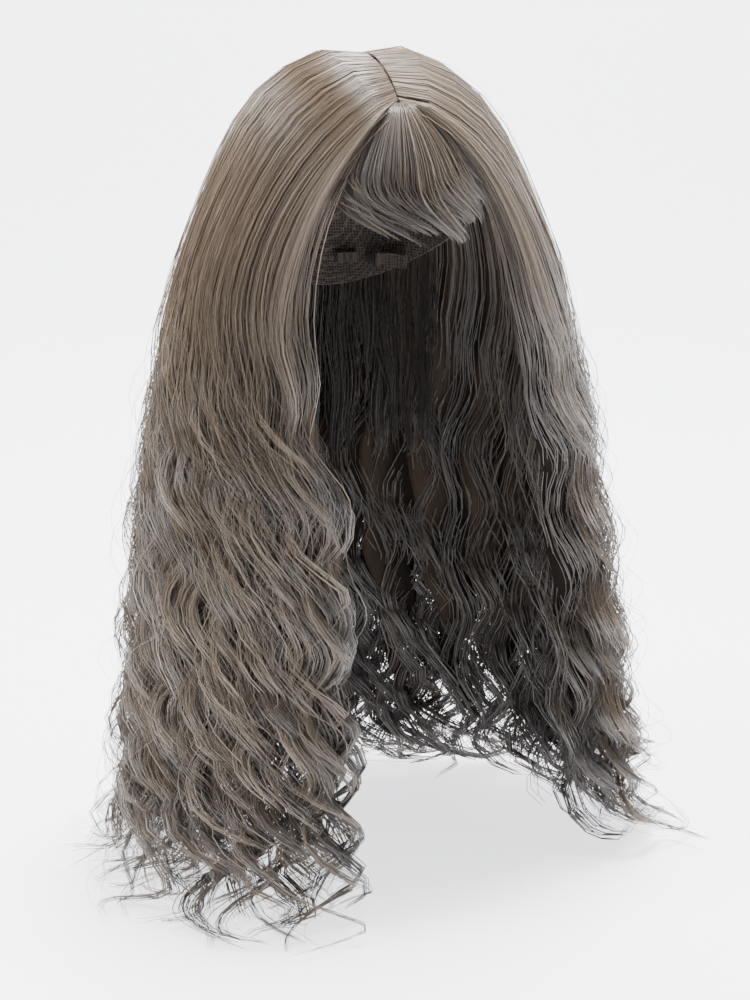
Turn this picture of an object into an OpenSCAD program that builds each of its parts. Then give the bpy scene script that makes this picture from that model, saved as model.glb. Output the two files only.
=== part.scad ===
// Long wavy costume wig: a stretch cap with its bands, ribbons, wefts and nape adjusters,
// the crown hair and fringe that are sewn to it, and the hanging locks of hair.
// The origin is the highest point of the cap's inner face, where it seats on the head.
// The face looks along -Y, the wearer's left is +X, and Z points up.

/* [Head and cap] */
// Half width of the head that the cap fits, ear to ear
head_a = 77; // [70:1:93]
// Half length of that head, brow to back
head_b = 97; // [88:1:117]
// Height from the widest level of the head to its top
head_c = 105; // [95:1:126]
// Thickness of the crown net
net_t = 1; // [0.6:0.1:1.6]
// Thickness of ribbons, bands, patch and casing cloth
cloth_t = 0.7; // [0.4:0.1:1]
// Free gap between one sewn layer and the next
layer_gap = 0.35; // [0.3:0.05:0.6]
// Width of the elastic bands along the rim
band_w = 12; // [8:0.5:15]
// Width of the cap's ribbons
ribbon_w = 10; // [6:0.5:14]
// Half width of the skin-coloured parting patch
patch_half_w = 12; // [8:0.5:16]
// Width of the binding tape round the patch
binding_w = 3; // [2:0.5:5]
// Length of an ear tab below the rim
tab_len = 24; // [16:1:30]
// Width of an ear tab
tab_w = 22; // [14:1:27]

/* [Wefts] */
// Number of weft rows round the back of the cap
weft_rows = 9; // [7:1:9]
// Width of one sewn weft track
weft_w = 4; // [2.5:0.5:5]
// Thickness of one sewn weft track
weft_t = 1; // [0.6:0.1:1.4]

/* [Nape adjusters] */
// Width of an adjuster strap
strap_w = 8; // [6:0.5:10]
// Thickness of an adjuster strap
strap_t = 1.2; // [0.8:0.1:1.6]
// Turn of a strap from slack to tight, in degrees round the nape
strap_travel = 14; // [8:1:15]
// Radius of the hook's round bar
hook_bar_r = 1; // [0.8:0.1:1.3]
// Free play between the bar and its eye
bar_play = 0.06; // [0.04:0.01:0.1]
// Number of loops on each loop tape
tape_loops = 3; // [2:1:4]

/* [Hair] */
// Distance from the crown seat down to the tips of the hair
hair_drop = 545; // [430:5:655]
// Hair outside the head at its top
hair_top = 13; // [10:1:20]
// Hair outside the head at the temples
hair_side = 31; // [24:1:38]
// Hair outside the head at the back
hair_back = 21; // [18:1:30]
// How far the hair has spread sideways at the foot, outside the head
foot_side = 112; // [80:1:135]
// How far it has spread to the front at the foot
foot_front = 60; // [40:1:75]
// How far it has spread to the back at the foot
foot_back = 53; // [36:1:66]
// How far the tips run out sideways along the table
tip_run = 27; // [10:1:35]
// Length of one wave in the hair
wave_len = 78; // [60:1:100]
// Sideways swing of a wave
wave_amp = 9; // [0:0.5:11]
// Turn of the whole drape round the neck, in degrees
drape_twist = 22; // [0:1:24]
// Half the width of the bare face opening at the temples, in degrees
face_half = 50; // [48:1:60]
// Free gap between one hanging lock and the next
lock_gap = 3; // [2:0.5:5]
// Thickness of the fringe
fringe_t = 7; // [4:0.5:9]
// How far the fringe hangs below the crown seat
fringe_drop = 98; // [90:1:130]

/* [Hidden] */
PARTS_RIGHT_LEFT = [["right", -1], ["left", 1]];
LOCKS = [["front", 2], ["side", 2], ["back", 3]];

// Colours
ash = "#857A70";
ash_mid = "#6F665C";
ash_deep = "#4F4740";
net_brown = "#4A423B";
band_brown = "#3B3430";
skin = "#D8BFA6";
clear_plastic = "#2E2A28";

// Levels in the cap's stack, measured outwards from the head
ribbon_in = net_t + layer_gap;
cross_in = ribbon_in + cloth_t + layer_gap;
weft_in = cross_in + cloth_t + layer_gap;
hair_in = weft_in + weft_t + 2 * layer_gap;

// The rim runs high over the brow, past the ears and low round the nape
rim_mid = 87;
rim_swing = 35;
part_front = 36;
part_back = 22;
patch_front = 37;
patch_back = 25;
ribbon_front = 40;
ribbon_tilt = 32;
side_ribbon_at = 27;
tab_at = 68;
tab_gap = 0.8;
weft_top = 50;
weft_low = 106;
weft_front = 72;

// Hair sectors at the temples, in degrees from the face, and the levels where they start
sector_edges = [face_half, 88, 128, 180];
crown_end = 80;
curtain_gap = 2;
curtain_top = -head_c + head_c * cos(crown_end) - curtain_gap;
curtain_drop = curtain_top + hair_drop;
tip_t = 7;

// Shares of the fall, 0 at the top of the curtain and 1 at the table
wave_grows = 0.2;
twist_from = 0.07;
twist_to = 0.51;
tips_from = 0.84;
run_out_from = 0.86;
// How early the hair spreads on its way down, and how much of the tip run shows in front and behind
spread_power = 0.6;
front_run = 1.5;
back_run = 0.8;
// Inner hollow at the temples, and how far it has opened at the foot
hollow_top = hair_in + 1.8;
hollow_foot = 45;

// The nape adjusters lie inside the cap, on arcs that bend as the nape does, round one
// upright axis; radii run inwards from the net to the tape, its loops, and the strap
strap_fall = 38;
strap_z = -head_c - strap_fall;
nape_scale = sqrt(1 - pow((strap_fall + strap_w / 2) / head_c, 2));
nape_r = nape_scale * head_a * head_a / head_b;
nape_y = nape_scale * head_b - nape_r;
tape_out = nape_r - 0.8;
loop_rise = 1.5;
loop_clear = 1;
strap_out = tape_out - 2 * cloth_t - loop_rise - loop_clear;
strap_in = strap_out - strap_t;
casing_out = strap_out + layer_gap + cloth_t;
casing_in = strap_in - layer_gap - cloth_t;
casing_play = 0.5;
nape_hair_in = hair_in + 0.8;
nape_hair_t = 6.5;

// ---- helpers ------------------------------------------------------------------------

function mix(p, q, f) = p + (q - p) * f;
function clamp01(f) = max(0, min(1, f));
function unit(p) = p / norm(p);
function ease(f) = let (g = clamp01(f)) g * g * (3 - 2 * g);
function heading(polar, turn) = [sin(polar) * sin(turn), -sin(polar) * cos(turn), cos(polar)];

// A point on the head grown by three amounts, along a heading from its middle
function shell(n, grow) = [
    (head_a + grow[0]) * n[0], (head_b + grow[1]) * n[1], (head_c + grow[2]) * n[2] - head_c];
function on_head(n, lift) = shell(n, [lift, lift, lift]);
function rim(turn) = rim_mid - rim_swing * cos(turn);
function deg_on_head(len) = len / head_c * 180 / PI;

// The shorter way between two headings
function arc_between(n0, n1, f) =
    let (w = acos(n0 * n1)) (sin((1 - f) * w) * n0 + sin(f * w) * n1) / sin(w);

// A closed solid between two sheets that are given over u and v from 0 to 1
module between_sheets(outer, inner, nu, nv, loop = false) {
    cols = loop ? nu : nu + 1;
    count = cols * (nv + 1);
    points = concat(
        [for (i = [0:cols - 1], j = [0:nv]) outer(i / nu, j / nv)],
        [for (i = [0:cols - 1], j = [0:nv]) inner(i / nu, j / nv)]);
    at = function(i, j, sheet) sheet * count + (i % cols) * (nv + 1) + j;
    faces = concat(
        [for (i = [0:nu - 1], j = [0:nv - 1]) each [
            [at(i, j, 0), at(i + 1, j, 0), at(i + 1, j + 1, 0)],
            [at(i, j, 0), at(i + 1, j + 1, 0), at(i, j + 1, 0)],
            [at(i, j, 1), at(i + 1, j + 1, 1), at(i + 1, j, 1)],
            [at(i, j, 1), at(i, j + 1, 1), at(i + 1, j + 1, 1)]]],
        [for (i = [0:nu - 1]) each [
            [at(i, 0, 0), at(i, 0, 1), at(i + 1, 0, 1)],
            [at(i, 0, 0), at(i + 1, 0, 1), at(i + 1, 0, 0)],
            [at(i, nv, 0), at(i + 1, nv, 1), at(i, nv, 1)],
            [at(i, nv, 0), at(i + 1, nv, 0), at(i + 1, nv, 1)]]],
        loop ? [] : [for (j = [0:nv - 1]) each [
            [at(0, j, 0), at(0, j + 1, 1), at(0, j, 1)],
            [at(0, j, 0), at(0, j + 1, 0), at(0, j + 1, 1)],
            [at(nu, j, 0), at(nu, j, 1), at(nu, j + 1, 1)],
            [at(nu, j, 0), at(nu, j + 1, 1), at(nu, j + 1, 0)]]]);
    polyhedron(points, faces);
}

// A strip of cloth on the head: route(u, v) gives a heading
module cloth_strip(route, lift, thick, nu, nv, loop = false) {
    between_sheets(
        function(u, v) on_head(route(u, v), lift + thick),
        function(u, v) on_head(route(u, v), lift),
        nu, nv, loop);
}

// A ring sector round the upright nape axis, from one turn to another, 0 at the very back
module nape_arc(r_in, r_out, z_low, z_high, from, to) {
    translate([0, nape_y, 0])
        rotate([0, 0, 90 + from])
            rotate_extrude(angle = to - from, $fn = 96)
                translate([r_in, z_low]) square([r_out - r_in, z_high - z_low]);
}

// ---- cap ----------------------------------------------------------------------------

module crown_net() {
    around = 40;
    rings = 12;
    first = 5;
    ring = function(lift, j, i) let (turn = 360 * i / around)
        on_head(heading(mix(first, rim(turn), j / rings), turn), lift);
    points = concat(
        [for (lift = [net_t, 0], i = [0:around - 1], j = [0:rings]) ring(lift, j, i)],
        [[0, 0, net_t], [0, 0, 0]]);
    count = around * (rings + 1);
    at = function(i, j, sheet) sheet * count + (i % around) * (rings + 1) + j;
    top = [2 * count, 2 * count + 1];
    color(net_brown) polyhedron(points, concat(
        [for (i = [0:around - 1], j = [0:rings - 1]) each [
            [at(i, j, 0), at(i + 1, j, 0), at(i + 1, j + 1, 0)],
            [at(i, j, 0), at(i + 1, j + 1, 0), at(i, j + 1, 0)],
            [at(i, j, 1), at(i + 1, j + 1, 1), at(i + 1, j, 1)],
            [at(i, j, 1), at(i, j + 1, 1), at(i + 1, j + 1, 1)]]],
        [for (i = [0:around - 1]) each [
            [top[0], at(i + 1, 0, 0), at(i, 0, 0)],
            [top[1], at(i, 0, 1), at(i + 1, 0, 1)],
            [at(i, rings, 0), at(i + 1, rings, 1), at(i, rings, 1)],
            [at(i, rings, 0), at(i + 1, rings, 0), at(i + 1, rings, 1)]]]));
}

// Elastic along the rim, from one turn to another
module rim_band(from, to, steps) {
    color(band_brown) cloth_strip(
        function(u, v) let (turn = mix(from, to, u), low = rim(turn))
            heading(mix(low - deg_on_head(band_w), low - 0.3, v), turn),
        ribbon_in, 2 * cloth_t, steps, 2);
}

module front_band() {
    rim_band(-tab_at - 8, tab_at + 8, 22);
}

module nape_band() {
    rim_band(tab_at + 9, 360 - tab_at - 9, 30);
}

// The angle round the head, over the top, at which a front-to-back strip meets the band
function band_edge(turn) = rim(turn) - deg_on_head(band_w) - 1;

module centre_ribbon() {
    half = deg_on_head(ribbon_w) / 2;
    color(band_brown) cloth_strip(
        function(u, v) let (back = mix(patch_back + 4, band_edge(180), v), off = mix(-half, half, u))
            [sin(off), sin(back) * cos(off), cos(back) * cos(off)],
        ribbon_in, cloth_t, 1, 12);
}

module side_ribbon(side) {
    half = deg_on_head(ribbon_w) / 2;
    color(band_brown) cloth_strip(
        function(u, v) let (back = mix(-ribbon_front, band_edge(180) - 8, v),
            off = side * side_ribbon_at + mix(-half, half, u))
            [sin(off), sin(back) * cos(off), cos(back) * cos(off)],
        ribbon_in, cloth_t, 1, 20);
}

module cross_ribbon() {
    half = deg_on_head(ribbon_w) / 2;
    reach = 72;
    color(band_brown) cloth_strip(
        function(u, v) let (over = mix(-reach, reach, u), off = ribbon_tilt + mix(-half, half, v))
            [sin(over), sin(off) * cos(over), cos(off) * cos(over)],
        cross_in, cloth_t, 20, 1);
}

module parting_patch() {
    half = deg_on_head(patch_half_w);
    color(skin) cloth_strip(
        function(u, v) let (back = mix(-patch_front, patch_back, v), off = mix(-half, half, u))
            [sin(off), sin(back) * cos(off), cos(back) * cos(off)],
        ribbon_in, cloth_t, 4, 10);
}

// Binding tape in a closed loop over the edge of the patch
module parting_binding() {
    wide = deg_on_head(patch_half_w);
    tape = deg_on_head(binding_w);
    mid = (patch_back - patch_front) / 2;
    long = (patch_back + patch_front) / 2;
    corner = [[-1, -1], [1, -1], [1, 1], [-1, 1]];
    color(band_brown) cloth_strip(
        function(u, v) let (
            side = floor(4 * u) % 4,
            spot = mix(corner[side], corner[(side + 1) % 4], 4 * u - floor(4 * u)),
            off = (wide - tape * (1 - v)) * spot[0],
            back = mid + (long - tape * (1 - v)) * spot[1])
            [sin(off), sin(back) * cos(off), cos(back) * cos(off)],
        cross_in, cloth_t, 44, 1, true);
}

// An ear tab is a rounded flap that carries on from the rim in front of the ear
module ear_tab(side) {
    half = deg_on_head(tab_w) / 2;
    low = rim(tab_at) + deg_on_head(tab_len);
    color(band_brown) cloth_strip(
        function(u, v) let (turn = side * tab_at + mix(-half, half, u) * sqrt(1 - 0.85 * v * v))
            heading(mix(rim(turn) + tab_gap, low, v), turn),
        net_t, 2 * cloth_t, 6, 6);
}

// A bendable stay is stitched on the tab to hold it against the cheek
module ear_stay(side) {
    half = 1.6;
    start = rim(tab_at) + 4;
    color(clear_plastic) cloth_strip(
        function(u, v) heading(mix(start, start + deg_on_head(tab_len) - 6, v),
            side * tab_at + mix(-half, half, u)),
        net_t + 2 * cloth_t + layer_gap, cloth_t, 1, 4);
}

// ---- weft tracks --------------------------------------------------------------------

function weft_polar(row) = mix(weft_low, weft_top, (row - 1) / (weft_rows - 1));

// A low row stops where it would meet the nape band
function weft_start(row) = let (
    reach = weft_polar(row) + deg_on_head(band_w + weft_w / 2) + 1.5,
    meets = (rim_mid - reach) / rim_swing)
    max(weft_front, acos(max(-1, min(1, meets))));

module weft_track(row) {
    half = deg_on_head(weft_w) / 2;
    start = weft_start(row);
    steps = ceil((360 - 2 * start) / 9);
    color(ash_deep) cloth_strip(
        function(u, v) heading(weft_polar(row) + mix(-half, half, v), mix(start, 360 - start, u)),
        weft_in, weft_t, steps, 1);
}

// A short track above the front band, from one turn to another
module front_track(from, to, steps) {
    half = deg_on_head(weft_w) / 2;
    color(ash_deep) cloth_strip(
        function(u, v) let (turn = mix(from, to, u))
            heading(rim(turn) - deg_on_head(band_w) - 1 - half + mix(-half, half, v), turn),
        weft_in, weft_t, steps, 1);
}

module fringe_track() {
    front_track(-38, 38, 10);
}

module temple_track(side) {
    front_track(side > 0 ? 42 : -weft_front + 2, side > 0 ? weft_front - 2 : -42, 4);
}

// ---- nape adjusters -----------------------------------------------------------------

// Turns round the nape axis, from the very back: loops, free strap and casing
tape_from = 5;
loop_pitch = 5.5;
strap_end = tape_from + tape_loops * loop_pitch + strap_travel + 4;
casing_from = strap_end + 7;
casing_to = casing_from + strap_travel + 2;
strap_to = casing_to - 1;
eye_wall = 1;
eye_rim = 0.3;
eye_r = hook_bar_r + bar_play + eye_wall;
eye_at = strap_end - (eye_r - eye_wall / 2) / strap_out * 180 / PI;
hook_t = 1.1;
hook_reach = 9;
hook_arm = 1.4;
tongue_w = 5;

// The left pieces are drawn at +X and mirrored for the right
module on_side(side) {
    mirror([side > 0 ? 0 : 1, 0, 0]) children();
}

// The hook's bar, with +X pointing away from the nape axis and +Y along the strap
module at_eye() {
    translate([0, nape_y, strap_z])
        rotate([0, 0, 90 - eye_at])
            translate([(strap_in + strap_out) / 2, 0, 0]) children();
}

// An elastic strap that ends in a round eye
module strap(side) {
    color(band_brown) on_side(side) difference() {
        union() {
            nape_arc(strap_in, strap_out, strap_z - strap_w / 2, strap_z + strap_w / 2,
                -strap_to, -strap_end);
            at_eye() cylinder(r = eye_r, h = strap_w + 2 * eye_rim, center = true, $fn = 32);
        }
        at_eye() cylinder(r = hook_bar_r + bar_play, h = strap_w + 2, center = true, $fn = 32);
    }
}

// The casing is a flat sleeve of cloth in which the strap slides
module casing(side) {
    half = strap_w / 2 + casing_play;
    color(net_brown) on_side(side) difference() {
        nape_arc(casing_in, casing_out, strap_z - half - cloth_t, strap_z + half + cloth_t,
            -casing_to, -casing_from);
        nape_arc(casing_in + cloth_t, casing_out - cloth_t, strap_z - half, strap_z + half,
            -casing_to - 1, -casing_from + 1);
    }
}

// A flat plastic hook on a round bar: the bar sits in the strap's eye, and the tongue
// lies free beside the loops until the strap is drawn in
module hook(side) {
    bar_h = strap_w + 2 * (2 * eye_rim + hook_arm);
    color(clear_plastic) on_side(side) at_eye() union() {
        cylinder(r = hook_bar_r, h = bar_h, center = true, $fn = 32);
        for (z = [-1, 1])
            translate([-hook_t, 0, z * (bar_h - hook_arm) / 2 - hook_arm / 2])
                cube([hook_t, eye_r + 1, hook_arm]);
        translate([-hook_t, eye_r + 0.6, -bar_h / 2]) cube([hook_t, 1.6, bar_h]);
        translate([-hook_t, eye_r + 2, -tongue_w / 2]) cube([hook_t, hook_reach - eye_r - 2, tongue_w]);
    }
}

// A tape on the net with small bridges that the hook can catch
module loop_tape(side) {
    half = strap_w / 2 - 0.5;
    span = 3.3;
    leg = 1.1;
    face = tape_out - cloth_t;
    color(band_brown) on_side(side) union() {
        nape_arc(face, tape_out, strap_z - half, strap_z + half,
            -tape_from - tape_loops * loop_pitch, -tape_from);
        for (i = [0:tape_loops - 1], start = tape_from + i * loop_pitch + 1.1) {
            nape_arc(face - loop_rise - cloth_t, face - loop_rise, strap_z - half, strap_z + half,
                -start - span, -start);
            for (at = [start, start + span - leg])
                nape_arc(face - loop_rise - cloth_t / 2, face + cloth_t / 2,
                    strap_z - half, strap_z + half, -at - leg, -at);
        }
    }
}

// ---- crown hair ---------------------------------------------------------------------

hair_out = [hair_side, hair_back, hair_top];
crown_slot = 0.35;
crown_point_slot = 1.6;

// Where the hair of a sector leaves the parting, and where it reaches the temple level
function parting_heading(side, f) = let (
    back = mix(-part_front, part_back, f),
    off = side * mix(crown_slot, crown_point_slot, f))
    [sin(off), sin(back) * cos(off), cos(back) * cos(off)];

module crown_shell(from, to, nu, nv) {
    between_sheets(
        function(u, v) shell(arc_between(from(u), to(u), v), hair_out),
        function(u, v) on_head(arc_between(from(u), to(u), v), hair_in),
        nu, nv);
}

module crown_hair_side(side) {
    first = side > 0 ? 0 : 1;
    near = sector_edges[0] - 3;
    far = sector_edges[2] - 0.4;
    color(ash) crown_shell(
        function(u) parting_heading(side, abs(first - u)),
        function(u) heading(crown_end, side * mix(near, far, abs(first - u))),
        13, 12);
}

module crown_hair_back() {
    edge = sector_edges[2] + 0.4;
    around = [0, sin(part_back), cos(part_back)];
    color(ash_mid) crown_shell(
        function(u) let (swing = mix(edge, 360 - edge, u), r = deg_on_head(4))
            unit([sin(r) * sin(swing), around[1] - sin(r) * cos(swing), around[2] - sin(r) * 0.4]),
        function(u) heading(crown_end, mix(edge, 360 - edge, u)),
        15, 12);
}

// ---- fringe -------------------------------------------------------------------------

fringe_hinge = 59;
fringe_end = 90 + asin((fringe_drop - head_c) / (head_c + hair_in + fringe_t));
fringe_wide = 41;
fringe_fan = 19;

// Half the fringe's width at one level, as it fans out from the parting
function fringe_half(polar) = fringe_wide * (1 - exp(-(polar - part_front) / fringe_fan));

module fringe_piece(from_polar, to_polar, u0, u1, nu, nv, tip) {
    between_sheets(
        function(u, v) fringe_point(from_polar, to_polar, u0, u1, u, v, tip, 1),
        function(u, v) fringe_point(from_polar, to_polar, u0, u1, u, v, tip, 0),
        nu, nv);
}

function fringe_point(from_polar, to_polar, u0, u1, u, v, tip, depth) = let (
    polar = mix(from_polar, to_polar, v),
    narrow = 1 - tip * ease((v - 0.55) / 0.45),
    place = mix((u0 + u1) / 2, mix(u0, u1, u), narrow),
    crown = 1 - 0.3 * pow(2 * u - 1, 2) * tip,
    thin = 0.3 * tip * ease(v * 1.6 - 0.6),
    lift = hair_in + fringe_t * mix(thin, crown, depth))
    on_head(heading(polar, fringe_half(polar) * place), lift);

module fringe_root() {
    color(ash_mid) fringe_piece(part_front + 2, fringe_hinge - 0.7, -1, 1, 9, 4, 0);
}

module fringe_lock(i) {
    edges = [-1, -0.36, 0.32, 1];
    color(ash_deep) fringe_piece(fringe_hinge + 0.7, fringe_end - 3 + 3 * (i % 2),
        edges[i - 1] + 0.02, edges[i] - 0.02, 5, 8, 0.5);
}

// ---- hanging hair -------------------------------------------------------------------

// Fall from the top of the curtain, 0, to the table, 1
function fall(z) = (curtain_top - z) / curtain_drop;

function spread(f, top, foot) = mix(top, foot, pow(clamp01(f), spread_power));
function tip_out(f) = tip_run * pow(clamp01((f - run_out_from) / (1 - run_out_from)), 2);

// Outer and inner outlines of the hair at one fall, as half width and half length
function outer_half(f, front) = [
    head_a + spread(f, hair_side, foot_side) + tip_out(f),
    head_b
        + spread(f, hair_back, front ? foot_front : foot_back)
        + tip_out(f) * (front ? front_run : back_run)];
hollow_back = nape_hair_in + nape_hair_t + 2;
function inner_half(f) = [
    head_a + mix(hollow_top, hollow_foot, sqrt(clamp01(f))),
    head_b + mix(hollow_top, hollow_back, sqrt(clamp01(f * 6)))];

// A point in the hair: turn at the temples, depth from inner 0 to outer 1, and height
function drape(turn, depth, z) = let (
    f = fall(z),
    swing = wave_amp / (head_a + foot_side) * 180 / PI * ease(f / wave_grows)
        * sin(360 * (curtain_top - z) / wave_len),
    now = turn + drape_twist * ease((f - twist_from) / (twist_to - twist_from)) + swing,
    out = outer_half(f, cos(now) > 0),
    in = inner_half(f),
    near_tip = ease((f - tips_from) / (1 - tips_from)),
    inner = [for (k = [0, 1]) mix(in[k], out[k] - tip_t, near_tip)],
    half = [for (k = [0, 1]) mix(inner[k], out[k], depth)])
    [half[0] * sin(now), -half[1] * cos(now), z];

// One lock between two turns: full at its middle, thin at its edges, drawn in at its tip
module lock(from, to, phase) {
    rows = 18;
    cols = 5;
    edge_thin = 0.22;
    tip_narrow = 0.25;
    ripple = 0.09;
    gap = lock_gap / head_b * 180 / PI / 2;
    place = function(u, v, outer) let (
        z = curtain_top - curtain_drop * v,
        narrow = 1 - tip_narrow * ease((v - 1 + tip_narrow) / tip_narrow),
        turn = mix((from + to) / 2, mix(from + gap, to - gap, u), narrow),
        rim_drop = pow(2 * u - 1, 2),
        wave = ease(v / wave_grows) * sin(360 * (curtain_top - z) / wave_len + phase),
        depth = outer ? 1 - edge_thin * rim_drop * ease(v * 8) - ripple * ease(v / wave_grows) * (1 - wave)
            : ripple * rim_drop + ripple / 2 * (1 + wave) * ease(v / wave_grows))
        drape(turn, depth, z);
    color(ash) between_sheets(
        function(u, v) place(u, v, true),
        function(u, v) place(u, v, false),
        cols, rows);
}

// Locks of one sector, counted from the face backwards
module sector_lock(side, sector, i) {
    count = LOCKS[sector][1];
    near = mix(sector_edges[sector], sector_edges[sector + 1], (i - 1) / count);
    far = mix(sector_edges[sector], sector_edges[sector + 1], i / count);
    lock(side > 0 ? near : -far, side > 0 ? far : -near, 70 * i + 40 * sector);
}

// Short hair from the lowest wefts, hanging inside the drape behind the neck
module nape_hair(side) {
    top = -head_c - 22;
    drop = 175;
    middle = 153;
    half = 25;
    taper = 0.35;
    place = function(u, v, depth) let (
        turn = (side > 0 ? middle : 360 - middle) + mix(-half, half, u) * (1 - 0.25 * ease((v - 0.5) * 2)),
        lift = nape_hair_in + nape_hair_t * mix(taper * ease(v), 1 - taper * ease(v), depth))
        [(head_a + lift) * sin(turn), -(head_b + lift) * cos(turn), top - drop * v];
    color(ash_deep) between_sheets(
        function(u, v) place(u, v, 1),
        function(u, v) place(u, v, 0),
        7, 8);
}

// ---- all nodes ----------------------------------------------------------------------

crown_net();
front_band();
nape_band();
centre_ribbon();
cross_ribbon();
parting_patch();
parting_binding();
fringe_track();
crown_hair_back();
fringe_root();
for (i = [1:3])
    fringe_lock(i);
for (row = [1:weft_rows])
    weft_track(row);
for (side = PARTS_RIGHT_LEFT) {
    side_ribbon(side[1]);
    ear_tab(side[1]);
    ear_stay(side[1]);
    temple_track(side[1]);
    strap(side[1]);
    casing(side[1]);
    hook(side[1]);
    loop_tape(side[1]);
    crown_hair_side(side[1]);
    nape_hair(side[1]);
    for (sector = [0:2], i = [1:LOCKS[sector][1]])
        sector_lock(side[1], sector, i);
}
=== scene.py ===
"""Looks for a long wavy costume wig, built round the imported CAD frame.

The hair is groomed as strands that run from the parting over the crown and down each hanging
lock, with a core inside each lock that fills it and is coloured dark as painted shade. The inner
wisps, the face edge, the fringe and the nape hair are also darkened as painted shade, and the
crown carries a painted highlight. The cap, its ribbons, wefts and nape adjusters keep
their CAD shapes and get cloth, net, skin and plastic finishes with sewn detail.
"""

from __future__ import annotations

import logging
import math
from dataclasses import dataclass, field, replace
from enum import Enum

import bpy
import numpy as np
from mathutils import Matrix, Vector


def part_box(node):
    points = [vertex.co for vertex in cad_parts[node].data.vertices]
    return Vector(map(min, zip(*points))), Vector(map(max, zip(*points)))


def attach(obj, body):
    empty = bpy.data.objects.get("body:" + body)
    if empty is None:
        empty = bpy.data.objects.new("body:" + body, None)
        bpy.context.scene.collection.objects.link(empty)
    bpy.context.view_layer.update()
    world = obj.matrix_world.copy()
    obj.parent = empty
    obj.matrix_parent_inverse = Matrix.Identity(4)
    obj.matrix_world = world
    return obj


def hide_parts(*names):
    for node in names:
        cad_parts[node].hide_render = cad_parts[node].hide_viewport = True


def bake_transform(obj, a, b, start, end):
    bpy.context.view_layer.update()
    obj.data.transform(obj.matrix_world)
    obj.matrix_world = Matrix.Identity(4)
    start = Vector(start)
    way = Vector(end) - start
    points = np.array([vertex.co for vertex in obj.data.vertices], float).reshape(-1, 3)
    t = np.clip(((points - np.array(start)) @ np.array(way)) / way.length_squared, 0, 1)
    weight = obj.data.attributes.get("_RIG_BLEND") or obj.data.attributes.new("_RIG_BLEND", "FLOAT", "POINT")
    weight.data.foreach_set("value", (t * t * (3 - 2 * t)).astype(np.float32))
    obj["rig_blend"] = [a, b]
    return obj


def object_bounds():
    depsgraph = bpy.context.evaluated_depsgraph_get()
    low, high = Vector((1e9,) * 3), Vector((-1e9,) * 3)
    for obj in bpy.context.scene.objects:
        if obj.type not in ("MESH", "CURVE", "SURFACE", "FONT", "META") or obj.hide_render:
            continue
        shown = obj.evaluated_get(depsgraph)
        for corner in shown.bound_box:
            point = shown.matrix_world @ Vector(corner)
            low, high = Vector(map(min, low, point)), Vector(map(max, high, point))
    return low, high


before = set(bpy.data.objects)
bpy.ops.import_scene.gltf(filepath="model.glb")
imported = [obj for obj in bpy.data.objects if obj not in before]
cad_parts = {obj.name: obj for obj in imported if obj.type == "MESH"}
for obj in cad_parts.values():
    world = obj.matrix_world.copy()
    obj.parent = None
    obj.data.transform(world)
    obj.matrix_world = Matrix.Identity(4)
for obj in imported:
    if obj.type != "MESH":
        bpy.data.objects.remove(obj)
cad_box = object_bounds()

log = logging.getLogger("wig")

MM = 0.001
BAKE_MAP = "OFBake"
SEED_STEP = 7919
STRAND_DICE = ("dice_side", "dice_lift", "strand", "dice_size", "dice_length")
# Angle of the cap's rim from straight up, at the sides and by how much it varies front to back
RIM_LEVEL, RIM_RISE = 87.0, 35.0

Number = np.ndarray | float
Colour = tuple[float, float, float, float]
Socket = bpy.types.NodeSocket


# ---- small maths ---------------------------------------------------------------------


def mix(low: Number, high: Number, part: Number) -> Number:
    """Blends two values.

    Args:
        low: Value at part 0.
        high: Value at part 1.
        part: Share of the way from low to high.

    Returns:
        The blended value.
    """
    return low + (high - low) * part


def ease(part: Number) -> Number:
    """Smooth step from 0 to 1, flat outside that range.

    Args:
        part: Value to smooth.

    Returns:
        The smoothed value, from 0 to 1.
    """
    held = np.clip(part, 0.0, 1.0)
    return held * held * (3.0 - 2.0 * held)


def heading(polar: Number, turn: Number) -> np.ndarray:
    """Unit direction from the head's middle.

    Args:
        polar: Angle from straight up, in degrees.
        turn: Angle round the head from the face towards the wearer's left, in degrees.

    Returns:
        An array whose last axis holds x, y and z.
    """
    tilt, spin = np.broadcast_arrays(np.radians(polar), np.radians(turn))
    return np.stack([np.sin(tilt) * np.sin(spin), -np.sin(tilt) * np.cos(spin), np.cos(tilt)], axis=-1)


def unit(vectors: np.ndarray) -> np.ndarray:
    """Scales vectors to length one.

    Args:
        vectors: Array whose last axis holds x, y and z.

    Returns:
        The unit vectors.
    """
    return vectors / np.maximum(np.linalg.norm(vectors, axis=-1, keepdims=True), 1e-9)


def arc_between(first: np.ndarray, last: np.ndarray, part: np.ndarray) -> np.ndarray:
    """Follows the shorter great circle between two headings.

    Args:
        first: Unit heading at part 0.
        last: Unit heading at part 1.
        part: Shares of the way.

    Returns:
        One unit heading for each part.
    """
    wide = math.acos(float(np.clip(np.dot(first, last), -1.0, 1.0)))
    near = np.sin((1.0 - part) * wide)[:, None] * first
    far = np.sin(part * wide)[:, None] * last
    return (near + far) / math.sin(wide)


# ---- node tree helper ----------------------------------------------------------------


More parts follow.
